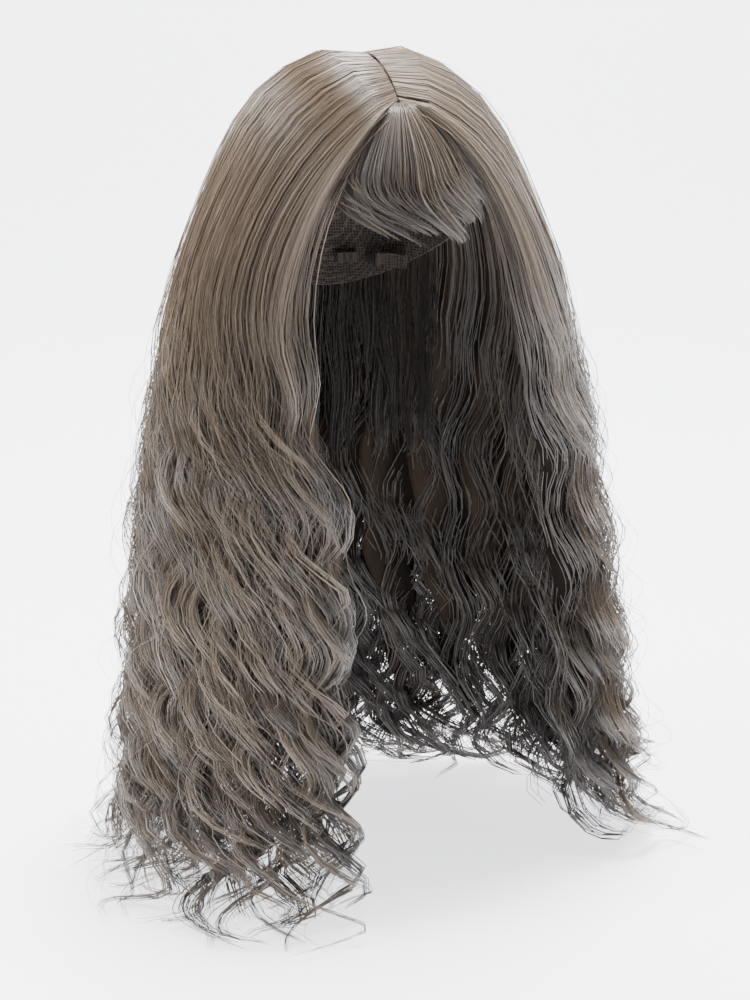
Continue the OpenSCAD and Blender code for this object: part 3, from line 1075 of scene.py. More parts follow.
@dataclass
class StrandStyle:
    """Sizes that the strand tree takes.

    Attributes:
        thickness: Radius of a strand.
        frizz: How far a strand leaves its wisp.
        frizz_size: How finely it frizzes.
        stray: How much further the strays go.
        seed: Start of its random numbers.
    """

    thickness: float = 0.25 * MM
    frizz: float = 3.4 * MM
    frizz_size: float = 11.0
    stray: float = 1.3
    seed: int = 1


def add_object(name: str, mesh: bpy.types.Mesh) -> bpy.types.Object:
    """Puts a mesh in the scene.

    Args:
        name: The object's name.
        mesh: Its mesh.

    Returns:
        The new object.
    """
    mesh.name = name
    piece = bpy.data.objects.new(name, mesh)
    bpy.context.scene.collection.objects.link(piece)
    return piece


def grow_strands(name: str, wisps: list[Wisp], style: StrandStyle, tree: bpy.types.GeometryNodeTree,
                 finish: bpy.types.Material) -> bpy.types.Object:
    """Turns wisps into one strand mesh.

    Args:
        name: The piece's name.
        wisps: Centre lines with their spread.
        style: The strands' sizes.
        tree: The strand node tree.
        finish: The hair material.

    Returns:
        The finished piece.
    """
    host = line_mesh(name + "_lines", [w.points for w in wisps])
    for key in ("across", "lift", "along", "tight"):
        put(host, key, np.concatenate([getattr(w, key) for w in wisps]))
    sizes = [len(w.points) for w in wisps]
    put(host, "amount", np.repeat([w.kind.count for w in wisps], sizes))
    put(host, "girth", np.repeat([w.kind.girth for w in wisps], sizes))
    put(host, "frizz", np.repeat([w.kind.frizz for w in wisps], sizes))
    # The tone carries painted shade for the inner layers and the face edge.
    put(host, "tone", np.repeat([w.tone for w in wisps], sizes))
    values = {
        "Seed": style.seed, "Thickness": style.thickness, "Stray": style.stray,
        "Frizz": style.frizz, "Frizz Size": style.frizz_size,
        "Floor": cad_box[0][2] + 0.4 * MM, "Finish": finish}
    spent = ("across", "lift", "along", "tight", "amount", "girth", "frizz", "tone", "facet", *STRAND_DICE)
    return add_object(name, evaluate(host, tree, values, spent))


def line_mesh(name: str, lines: list[np.ndarray]) -> bpy.types.Mesh:
    """Makes a mesh of lines.

    Args:
        name: The mesh's name.
        lines: The points of each line.

    Returns:
        The mesh, with edges and no faces.
    """
    sizes = [len(line) for line in lines]
    edges = [np.stack([np.arange(size - 1), np.arange(1, size)], axis=1) for size in sizes]
    starts = np.concatenate([[0], np.cumsum(sizes)[:-1]])
    joined = np.concatenate([pairs + start for pairs, start in zip(edges, starts)])
    mesh = bpy.data.meshes.new(name)
    mesh.from_pydata(np.concatenate(lines).tolist(), joined.tolist(), [])
    return mesh


def put(mesh: bpy.types.Mesh, name: str, data: np.ndarray) -> None:
    """Stores one value for each point of a mesh.

    Args:
        mesh: The mesh.
        name: The value's name.
        data: Whole numbers, numbers or vectors.
    """
    if data.ndim == 2:
        kind, slot, size = "FLOAT_VECTOR", "vector", np.float32
    elif data.dtype.kind == "i":
        kind, slot, size = "INT", "value", np.int32
    else:
        kind, slot, size = "FLOAT", "value", np.float32
    mesh.attributes.new(name, kind, "POINT").data.foreach_set(slot, data.astype(size).ravel())


def evaluate(host: bpy.types.Mesh, tree: bpy.types.GeometryNodeTree, values: dict[str, object],
             spent: tuple[str, ...]) -> bpy.types.Mesh:
    """Runs a node tree on a mesh of lines and keeps the result as a plain mesh.

    Args:
        host: The mesh of lines, which is removed.
        tree: The node tree.
        values: Values for its named inputs.
        spent: Attributes that the result no longer needs.

    Returns:
        The resulting mesh.
    """
    carrier = add_object(host.name, host)
    modifier = carrier.modifiers.new("groom", "NODES")
    modifier.node_group = tree
    for item in tree.interface.items_tree:
        if item.in_out == "INPUT" and item.name in values:
            modifier[item.identifier] = values[item.name]
    graph = bpy.context.evaluated_depsgraph_get()
    mesh = bpy.data.meshes.new_from_object(carrier.evaluated_get(graph), depsgraph=graph)
    bpy.data.objects.remove(carrier)
    bpy.data.meshes.remove(host)
    for key in [layer.name for layer in mesh.attributes if layer.name in spent]:
        mesh.attributes.remove(mesh.attributes[key])
    return mesh


def slab(name: str, outer: np.ndarray, inner: np.ndarray, finish: bpy.types.Material) -> bpy.types.Object:
    """Builds a closed solid between two sheets of points.

    Args:
        name: The piece's name.
        outer: Outer points, rows by columns by three.
        inner: Inner points, the same size.
        finish: Its material.

    Returns:
        The piece, with its map running across and along the sheet.
    """
    rows, cols = outer.shape[:2]
    count = rows * cols
    at = np.arange(count).reshape(rows, cols)
    quads = np.stack([at[:-1, :-1], at[:-1, 1:], at[1:, 1:], at[1:, :-1]], axis=-1).reshape(-1, 4)
    faces = [quads[:, ::-1], quads + count]
    loop = np.concatenate([at[0, :], at[1:, -1], at[-1, -2::-1], at[-2:0:-1, 0]])
    after = np.roll(loop, -1)
    faces.append(np.stack([loop, after, after + count, loop + count], axis=-1))
    mesh = bpy.data.meshes.new(name)
    points = np.concatenate([outer.reshape(-1, 3), inner.reshape(-1, 3)])
    mesh.from_pydata(points.tolist(), [], np.concatenate(faces).tolist())
    grid_u, grid_v = np.meshgrid(np.linspace(0.0, 1.0, cols), np.linspace(0.0, 1.0, rows))
    spots = np.stack([grid_u.ravel(), grid_v.ravel()], axis=-1)
    spots = np.concatenate([spots, spots])
    corners = np.empty(len(mesh.loops), dtype=np.int32)
    mesh.loops.foreach_get("vertex_index", corners)
    layer = mesh.uv_layers.new(name=BAKE_MAP)
    layer.uv.foreach_set("vector", spots[corners].astype(np.float32).ravel())
    mesh.materials.append(finish)
    mesh.shade_smooth()
    return add_object(name, mesh)


# ---- hanging locks -------------------------------------------------------------------


class Side(Enum):
    """The wearer's right or left."""

    RIGHT = "right"
    LEFT = "left"

    @property
    def sign(self) -> int:
        """Sign of x on this side.

        Returns:
            -1 on the right and 1 on the left.
        """
        return 1 if self is Side.LEFT else -1


@dataclass(frozen=True)
class Sector:
    """One curtain of hair on one side.

    Attributes:
        name: The curtain's name.
        first: Turn of its edge by the face, in degrees.
        last: Turn of its other edge, in degrees.
        locks: Its number of locks.
    """

    name: str
    first: float
    last: float
    locks: int


@dataclass(frozen=True)
class Layer:
    """One depth of a lock and the wisps that fill it.

    Attributes:
        depth: Place between the inner face, 0, and the outside, 1.
        columns: Number of wisps side by side.
        kind: The wisps' strands.
        scatter: How unevenly the wisps stand, as a share of their cell.
        lag: How far each wisp's wave lags behind the one before it, in turns.
        swing: Size of the wave, as a share of the usual.
        hidden: Whether the wisps start low on the crown, under the others.
        tones_and_shade: Darkest and lightest tone; the inner layers take a dark range as painted shade.
    """

    depth: float
    columns: int
    kind: Strand
    scatter: float = 0.12
    lag: float = 0.05
    swing: float = 1.0
    hidden: bool = False
    tones_and_shade: tuple[float, float] = (0.3, 1.0)


# The inner layers take dark tones: painted shade inside the lock and between the wisps; the outer ones vary
# at random.
LAYERS = (
    Layer(0.2, 4, Strand(16, girth=1.5, wide=0.85), swing=0.7, hidden=True, tones_and_shade=(0.0, 0.1)),
    Layer(0.5, 5, Strand(16, girth=1.5, wide=0.8), swing=0.85, hidden=True, tones_and_shade=(0.0, 0.15)),
    Layer(0.72, 4, Strand(28, girth=1.15, wide=0.85), tones_and_shade=(0.0, 0.45)),
    Layer(0.86, 5, Strand(24, wide=0.55, deep=0.12), scatter=0.3),
    Layer(0.93, 5, Strand(8, girth=0.8, frizz=1.5, wide=0.22, deep=0.06), scatter=0.4, lag=0.16, swing=1.4),
    Layer(0.93, 13, Strand(2, girth=0.45, frizz=4.5, wide=1.3, deep=0.16), scatter=0.5, lag=0.17, swing=1.3))
# The edge wisps by the face take dark tones: painted shadow on the lock's inner edge.
EDGE = (
    Layer(0.3, 1, Strand(12, girth=0.9, wide=1.0), swing=0.7, tones_and_shade=(0.0, 0.15)),
    Layer(0.5, 1, Strand(14, girth=0.9, wide=1.0), swing=0.8, tones_and_shade=(0.0, 0.2)),
    Layer(0.7, 1, Strand(14, girth=0.9, wide=1.0), swing=0.9, tones_and_shade=(0.0, 0.35)),
    Layer(0.88, 1, Strand(14, girth=0.9, wide=1.0), tones_and_shade=(0.1, 0.5)))
FRINGE_LAYERS = (
    (0.2, Strand(16, girth=1.3)), (0.55, Strand(18, girth=1.1)), (0.9, Strand(24)),
    (1.0, Strand(3, girth=0.4, frizz=4.0, wide=1.5)))
SECTORS = (Sector("front", 50, 88, 2), Sector("side", 88, 128, 2), Sector("back", 128, 180, 3))


@dataclass
class Lengths:
    """The crown hair and the hanging locks that carry it on.

    Attributes:
        drape: The hair's outlines.
        tree: The strand node tree.
        finish: The hair material.
        core_finish: The material of the locks' cores, dark as painted shade.
        side_wave: Usual swing to the side.
        out_wave: Usual swing in and out.
        period: Usual length of a wave.
        phase_step: How far each lock's wave is ahead of the one before it, in turns.
        overhang: How far the front locks reach over the face opening's edges, in degrees.
        edge_cell: Width of the wisps along those edges, in degrees.
        join_half: Half the height over which the crown hair bends into a swung curtain.
        style: The strands' sizes.
    """

    drape: Drape
    tree: bpy.types.GeometryNodeTree
    finish: bpy.types.Material
    core_finish: bpy.types.Material
    side_wave: float = 13 * MM
    out_wave: float = 9 * MM
    period: float = 92 * MM
    phase_step: float = 0.29
    overhang: float = 6.0
    edge_cell: float = 3.0
    join_half: float = 0.03
    style: StrandStyle = field(default_factory=StrandStyle)

    def wave(self, dice: np.random.Generator, phase: float, depth: float, swing: float) -> Wave:
        """Chooses the wave of one wisp.

        Args:
            dice: The lock's own random numbers.
            phase: The lock's phase.
            depth: Place between the inner face and the outside.
            swing: How far it swings, as a share of the usual.

        Returns:
            The wave.
        """
        return Wave(
            phase=phase + float(dice.normal(0, 0.09)),
            period=self.period * float(dice.uniform(0.92, 1.1)),
            side=self.side_wave * swing * float(dice.uniform(0.6, 1.25)),
            out=self.out_wave * swing * float(dice.uniform(0.5, 1.4)),
            reach=self.drape.length + float(dice.normal(0.012, 0.022)) - 0.02 * (1 - depth),
            splay=float(dice.normal(0, 34)),
            curl=float(dice.normal(0, 80)),
            lie=float(dice.uniform(1.5, 9.0)) * MM,
            drift=float(dice.normal(0, 5)) * MM,
            drift_phase=float(dice.uniform(0, 1)))

    def build(self) -> None:
        """Builds every lock on both sides."""
        number = 0
        for side in Side:
            for sector in SECTORS:
                bounds = np.linspace(sector.first, sector.last, sector.locks + 1)
                for index, (near, far) in enumerate(zip(bounds[:-1], bounds[1:])):
                    number += 1
                    if sector.name == "front" and index == 0:
                        near -= self.overhang
                    self.build_lock(side, sector, index + 1, (near * side.sign, far * side.sign), number)

    def build_lock(
            self, side: Side, sector: Sector, index: int, edges: tuple[float, float], number: int) -> None:
        """Builds the strands and the core of one lock.

        Args:
            side: The wearer's side.
            sector: The curtain that the lock belongs to.
            index: The lock's number in its sector.
            edges: Its two edges, in degrees at the temples.
            number: The lock's number on the wig, for its random numbers.
        """
        node = f"{sector.name}_lock_{side.value}_{index}"
        crown = "crown_hair_back" if sector.name == "back" else f"crown_hair_{side.value}"
        dice = np.random.default_rng(700 + number)
        wisps = self.lock_wisps(edges, self.phase_step * number, dice)
        if sector.name == "front" and index == 1:
            wisps += self.edge_wisps(edges[0] - side.sign * 0.5, self.phase_step * number, dice)
        style = replace(self.style, seed=number)
        strands = grow_strands(f"strands_{node}", wisps, style, self.tree, self.finish)
        start, end = ((0, 0, self.drape.top + step) for step in (self.join_half, -self.join_half))
        for piece in (strands, self.build_shaded_core(node, edges)):
            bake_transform(piece, "cap", f"{sector.name}_hair_{side.value}", start=start, end=end)
            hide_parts(node, crown)
            log.info("%s: %d faces", piece.name, len(piece.data.polygons))

    def lock_wisps(self, edges: tuple[float, float], phase: float, dice: np.random.Generator) -> list[Wisp]:
        """Fills one lock with layers of wisps.

        Args:
            edges: Its two edges, in degrees at the temples.
            phase: The lock's phase.
            dice: The lock's random numbers.

        Returns:
            The wisps.
        """
        groom = Groom(self.drape, crown_steps=7, fall_steps=46)
        inner = Groom(self.drape, crown_steps=3, fall_steps=30)
        wisps = []
        for layer in LAYERS:
            cell = (edges[1] - edges[0]) / layer.columns
            grower, start = (inner, 0.7) if layer.hidden else (groom, 0.0)
            for column in range(layer.columns):
                turn = edges[0] + cell * (column + 0.5) + float(dice.normal(0, layer.scatter)) * cell
                depth = layer.depth + float(dice.normal(0, 0.02))
                wave = self.wave(dice, phase + layer.lag * column, depth, layer.swing)
                wisps.append(grower.wisp(turn, depth, wave, abs(cell), layer.kind, dice, layer.tones_and_shade, start))
        return wisps

    def edge_wisps(self, turn: float, phase: float, dice: np.random.Generator) -> list[Wisp]:
        """Covers the edge of a front lock by the face with fine wisps, coloured dark as painted shadow.

        Args:
            turn: The edge's turn, in degrees.
            phase: The lock's phase.
            dice: The lock's random numbers.

        Returns:
            The wisps.
        """
        groom = Groom(self.drape, crown_steps=7, fall_steps=46)
        wisps = []
        for layer in EDGE:
            wave = self.wave(dice, phase, layer.depth, layer.swing)
            wisps.append(groom.wisp(turn, layer.depth, wave, self.edge_cell, layer.kind, dice, layer.tones_and_shade))
        return wisps

    def build_shaded_core(self, node: str, edges: tuple[float, float]) -> bpy.types.Object:
        """Builds the body of fibres inside a lock, coloured dark as painted shade.

        Args:
            node: The lock's node name.
            edges: Its two edges, in degrees.

        Returns:
            The core.
        """
        groom = Groom(self.drape, crown_steps=12, fall_steps=48)
        calm = 0.3
        wave = Wave(
            phase=0.0, period=self.period, side=self.side_wave * calm, out=self.out_wave * calm,
            reach=self.drape.length - 0.06, splay=0.0, curl=0.0)
        turns = np.linspace(edges[0], edges[1], 9)
        sheets = []
        for depth in (0.55, 0.22):
            lines = [groom.line(float(turn), depth - 0.1 * abs(share) ** 2, wave, start=0.04)
                     for turn, share in zip(turns, np.linspace(-1, 1, len(turns)))]
            sheets.append(np.stack(lines, axis=1))
        outer, inner = sheets
        middle = (outer.mean(axis=1, keepdims=True) + inner.mean(axis=1, keepdims=True)) / 2
        taper = 1 - 0.9 * ease((np.linspace(0, 1, len(outer)) - 0.62) / 0.38)[:, None, None]
        outer, inner = (middle + (sheet - middle) * taper for sheet in (outer, inner))
        if edges[1] < edges[0]:
            outer, inner = outer[:, ::-1], inner[:, ::-1]
        return slab(f"core_{node}", outer, inner, self.core_finish)


# ---- fringe and nape hair ------------------------------------------------------------


@dataclass
class Fringe:
    """The fringe: a root that fans out from the parting, and three locks over the forehead.

    Attributes:
        drape: The hair's outlines.
        tree: The strand node tree.
        finish: Its material, a darker copy of the hair colour as painted shade.
        width: Half of its width where it is widest, in degrees.
        fan: How quickly it fans out from the parting, in degrees.
        thick: Its thickness.
        hinge: Where it lifts, in degrees from straight up.
        low: Where its tips end, in degrees from straight up.
        side_short: How much shorter it is at both sides, in degrees.
        left_short: How much shorter still it is on the wearer's left, in degrees.
        edges: Edges of its three locks, from -1 to 1 across it.
        columns: Wisps side by side in each lock.
        wave: Its swing to the side, in degrees.
        wave_over: Length over which the swing grows, in degrees.
        period: Length of one wave, in degrees.
        sweep: How far it sweeps to the wearer's left, in degrees.
    """

    drape: Drape
    tree: bpy.types.GeometryNodeTree
    finish: bpy.types.Material
    width: float = 41.0
    fan: float = 19.0
    thick: float = 6.5 * MM
    hinge: float = 59.0
    low: float = 86.0
    side_short: float = 4.0
    left_short: float = 12.0
    edges: tuple[float, ...] = (-1.0, -0.36, 0.32, 1.0)
    columns: int = 5
    wave: float = 1.3
    wave_over: float = 22.0
    period: float = 34.0
    sweep: float = 13.5

    def line(self, place: float, depth: float, phase: float, end: float) -> np.ndarray:
        """Runs one line from the parting to the brow, where it sweeps towards the wearer's left.

        Args:
            place: Place across the fringe, from -1 to 1.
            depth: 0 next to the cap, 1 at the outside.
            phase: Start of its wave, in turns.
            end: Angle from straight up at its tip, in degrees.

        Returns:
            The line's points.
        """
        front = self.drape.part_front
        part = np.linspace(0.0, 1.0, 26)
        fall = 1 - (1 - part) ** 1.35
        tip = end - self.side_short * place ** 2 - self.left_short * max(place - 0.1, 0.0)
        polar = mix(front + 1.2, tip, fall)
        half = self.width * (1 - np.exp((front - polar) / self.fan))
        swell = ease((polar - self.hinge) / self.wave_over)
        beat = 2 * math.pi * (phase + (polar - self.hinge) / self.period)
        swept = self.sweep * (1.3 - place) * ease((part - 0.5) / 0.5) ** 1.4
        turn = half * place * 1.17 + self.wave * swell * np.sin(beat) + swept
        level = depth * ease((polar - front) / 5) + 0.15 * swell * np.cos(beat)
        rise = self.drape.hair_in + self.thick * level
        return self.drape.on_head(heading(polar, turn), rise[:, None])

    def lock_wisps(self, index: int) -> list[Wisp]:
        """Fills one lock with its share of the root.

        Args:
            index: The lock's number, from 0.

        Returns:
            The wisps.
        """
        dice = np.random.default_rng(40 + index)
        cell = (self.edges[index + 1] - self.edges[index]) / self.columns
        wisps = []
        for depth, kind in FRINGE_LAYERS:
            for column in range(self.columns):
                place = self.edges[index] + cell * (column + 0.5 + float(dice.normal(0, 0.1)))
                phase = 0.3 * index + 0.08 * column + float(dice.normal(0, 0.06))
                end = self.low + float(dice.normal(-1.0, 2.2))
                centre = self.line(place, depth, phase, end)
                across = (self.line(place + 0.01, depth, phase, end) - centre) * cell * kind.wide / 0.01
                lift = (self.line(place, depth + 0.1, phase, end) - centre) * 2.0
                wisps.append(bundle(centre, across, lift, kind, dice))
        return wisps

    def build(self) -> None:
        """Builds the three locks."""
        half = 6.0
        start, end = (
            tuple(self.drape.on_head(heading(self.hinge + step, 0.0), self.drape.hair_in))
            for step in (-half, half))
        for index in range(3):
            style = StrandStyle(thickness=0.26 * MM, frizz=1.2 * MM, seed=60 + index)
            piece = grow_strands(
                f"strands_fringe_{index + 1}", self.lock_wisps(index), style, self.tree, self.finish)
            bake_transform(piece, "cap", "fringe", start=start, end=end)
            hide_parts(f"fringe_lock_{index + 1}", "fringe_root")
            log.info("%s: %d faces", piece.name, len(piece.data.polygons))


@dataclass
class NapeHair:
    """Short hair from the lowest wefts, inside the drape behind the neck, coloured dark as painted shade.

    Attributes:
        drape: The hair's outlines.
        tree: The strand node tree.
        finish: Its material.
        top: Height of its roots below the head's widest level.
        drop: Its greatest length.
        first: Turn of its edge by the ear, in degrees.
        last: Turn of its edge at the back, in degrees.
        columns: Wisps side by side.
        wave: Its swing to the side, in degrees.
        period: Length of one wave.
    """

    drape: Drape
    tree: bpy.types.GeometryNodeTree
    finish: bpy.types.Material
    top: float = 22 * MM
    drop: float = 172 * MM
    first: float = 129.0
    last: float = 177.0
    columns: int = 7
    wave: float = 1.3
    period: float = 80 * MM

    def line(self, turn: float, depth: float, phase: float, drop: float) -> np.ndarray:
        """Runs one line down behind the neck.

        Args:
            turn: Its turn, in degrees.
            depth: 0 at the neck's side, 1 outside.
            phase: Start of its wave, in turns.
            drop: Its length.

        Returns:
            The line's points.
        """
        run = np.linspace(0.0, drop, 16)
        beat = 2 * math.pi * (phase + run / self.period)
        swell = ease(run / 0.06)
        lift = self.drape.hair_in + (1.4 + 4.6 * depth) * MM + 0.8 * MM * swell * np.cos(beat)
        now = turn + self.wave * swell * np.sin(beat)
        side, back = np.sin(np.radians(now)), -np.cos(np.radians(now))
        return np.stack([
            (self.drape.head[0] + lift) * side, (self.drape.head[1] + lift) * back,
            -self.drape.head[2] - self.top - run], axis=-1)

    def build(self) -> None:
        """Builds the hair of both sides."""
        for side in Side:
            dice = np.random.default_rng(90 + side.sign)
            cell = (self.last - self.first) / self.columns
            kind = Strand(14, girth=1.5)
            wisps = []
            for depth in (0.1, 0.5, 0.9):
                for column in range(self.columns):
                    turn = side.sign * (self.first + cell * (column + 0.5))
                    phase = float(dice.uniform(0, 1))
                    drop = self.drop - abs(float(dice.normal(0, 0.045)))
                    centre = self.line(turn, depth, phase, drop)
                    across = (self.line(turn + 0.1, depth, phase, drop) - centre) * cell * kind.wide / 0.1
                    lift = (self.line(turn, depth + 0.1, phase, drop) - centre) * 1.6
                    wisps.append(bundle(centre, across, lift, kind, dice))
            style = StrandStyle(thickness=0.3 * MM, frizz=2.4 * MM, seed=90 + side.sign)
            piece = grow_strands(f"strands_nape_{side.value}", wisps, style, self.tree, self.finish)
            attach(piece, "cap")
            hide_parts(f"nape_hair_{side.value}")
            log.info("%s: %d faces", piece.name, len(piece.data.polygons))


# ---- cap -----------------------------------------------------------------------------


@dataclass(frozen=True)
class WovenFinish:
    """Woven or knitted cloth: crossing threads with a fine bump and worn tone.

    Attributes:
        name: The material's name.
        dark: Colour between the threads.
        light: Colour of the threads.
        threads: How closely the threads lie.
        bump: How far they stand out.
        roughness: Roughness of the cloth.
    """

    name: str
    dark: Colour
    light: Colour
    threads: float = 1400.0
    bump: float = 0.5
    roughness: float = 0.85

    def build(self) -> bpy.types.Material:
        """Builds the material.

        Returns:
            The finished material.
        """
        material, tree, shader = open_finish(self.name)
        spot = tree.out(tree.add("ShaderNodeTexCoord"), "Object")
        threads = {"Vector": spot, "Scale": self.threads / 6.3, "Distortion": 0.6, "Detail": 1.0}
        warp, weft = (
            tree.out(tree.add("ShaderNodeTexWave", threads, wave_type="BANDS", bands_direction=way), "Fac")
            for way in ("DIAGONAL", "Z"))
        weave = tree.calc("MAXIMUM", warp, weft)
        wear = tree.noise({"Vector": spot, "Scale": 160.0, "Detail": 4.0})
        both = tree.calc("ADD", tree.calc("MULTIPLY", weave, 0.55), tree.calc("MULTIPLY", wear, 0.45))
        share = tree.ramp(both, 0.25, 0.85, 0.0, 1.0)
        tree.feed(shader, "Base Color", tree.tone(share, self.dark, self.light))
        tree.feed(shader, "Normal", tree.relief(weave, self.bump, 0.2 * MM))
        shader.inputs["Roughness"].default_value = self.roughness
        shader.inputs["Sheen Weight"].default_value = 0.25
        return material


@dataclass(frozen=True)
class NetFinish:
    """Stretch net of small cells with lighter threads.

    Attributes:
        name: The material's name.
        hole: Colour inside the cells.
        thread: Colour of the threads.
        cells: How small the cells are.
    """

    name: str
    hole: Colour
    thread: Colour
    cells: float = 520.0

    def build(self) -> bpy.types.Material:
        """Builds the material.

        Returns:
            The finished material.
        """
        material, tree, shader = open_finish(self.name)
        spot = tree.out(tree.add("ShaderNodeTexCoord"), "Object")
        cell = tree.add("ShaderNodeTexVoronoi", {"Vector": spot, "Scale": self.cells, "Randomness": 0.35},
                        feature="DISTANCE_TO_EDGE")
        knot = tree.ramp(tree.out(cell, "Distance"), 0.05, 0.2, 1.0, 0.0)
        tree.feed(shader, "Base Color", tree.tone(knot, self.hole, self.thread))
        tree.feed(shader, "Normal", tree.relief(knot, 0.8, 0.3 * MM))
        shader.inputs["Roughness"].default_value = 0.8
        return material


@dataclass(frozen=True)
class MouldedFinish:
    """Moulded plastic or cast skin: fine grain, mottled colour and small pores.

    Attributes:
        name: The material's name.
        base: Its colour.
        mottle: Colour of its mottling.
        pores: How small the pores are.
        roughness: Roughness of the surface.
        bump: Depth of the pores.
        skin: Share of light that scatters under the surface.
    """

    name: str
    base: Colour
    mottle: Colour
    pores: float = 900.0
    roughness: float = 0.4
    bump: float = 0.2
    skin: float = 0.0

    def build(self) -> bpy.types.Material:
        """Builds the material.

        Returns:
            The finished material.
        """
        material, tree, shader = open_finish(self.name)
        spot = tree.out(tree.add("ShaderNodeTexCoord"), "Object")
        blotch = tree.noise({"Vector": spot, "Scale": 90.0, "Detail": 5.0})
        share = tree.ramp(blotch, 0.3, 0.7, 0.0, 1.0)
        tree.feed(shader, "Base Color", tree.tone(share, self.base, self.mottle))
        pore = tree.out(tree.add("ShaderNodeTexVoronoi", {"Vector": spot, "Scale": self.pores}), "Distance")
        tree.feed(shader, "Normal", tree.relief(pore, self.bump, 0.1 * MM))
        shader.inputs["Roughness"].default_value = self.roughness
        shader.inputs["Subsurface Weight"].default_value = self.skin
        shader.inputs["Subsurface Scale"].default_value = 1.5 * MM
        return material


def stitch_tree() -> bpy.types.GeometryNodeTree:
    """Builds the node tree that sews stitches along lines.

    Returns:
        A tree with inputs Spacing, Length, Thickness, Zigzag and Finish.
    """
    t = open_group("stitches", (
        ("Spacing", "Float", 4 * MM), ("Length", "Float", 2.6 * MM), ("Thickness", "Float", 0.35 * MM),
        ("Zigzag", "Float", 0.0), ("Finish", "Material", None)))
    given = t.add("NodeGroupInput").outputs
    curve = t.out(t.add("GeometryNodeMeshToCurve", {"Mesh": given["Geometry"]}))
    rows = t.add("GeometryNodeResampleCurve", {"Curve": curve, "Length": given["Spacing"]}, mode="LENGTH")
    parity = t.calc("MODULO", t.out(t.add("GeometryNodeInputIndex")), 2.0)
    turn = t.calc("MULTIPLY", t.signed(parity), given["Zigzag"])
    across = t.vector("SCALE", t.read("across", "FLOAT_VECTOR"), turn)
    way = t.vector("ADD", t.out(t.add("GeometryNodeInputTangent")), across)
    spin = t.out(t.add("FunctionNodeAlignRotationToVector", {"Vector": way}, axis="X"))
    bead = t.out(t.add("GeometryNodeMeshUVSphere", {"Segments": 6, "Rings": 4, "Radius": 0.5}), "Mesh")
    size = t.join(given["Length"], given["Thickness"], given["Thickness"])
    sewn = t.add("GeometryNodeInstanceOnPoints", {
        "Points": t.out(rows), "Instance": bead, "Rotation": spin, "Scale": size})
    t.finish_shape(t.out(sewn), given["Finish"])
    return t.tree


@dataclass
class Seam:
    """One sewn line.

    Attributes:
        points: Its points.
        across: The direction across it at each point.
    """

    points: np.ndarray
    across: np.ndarray


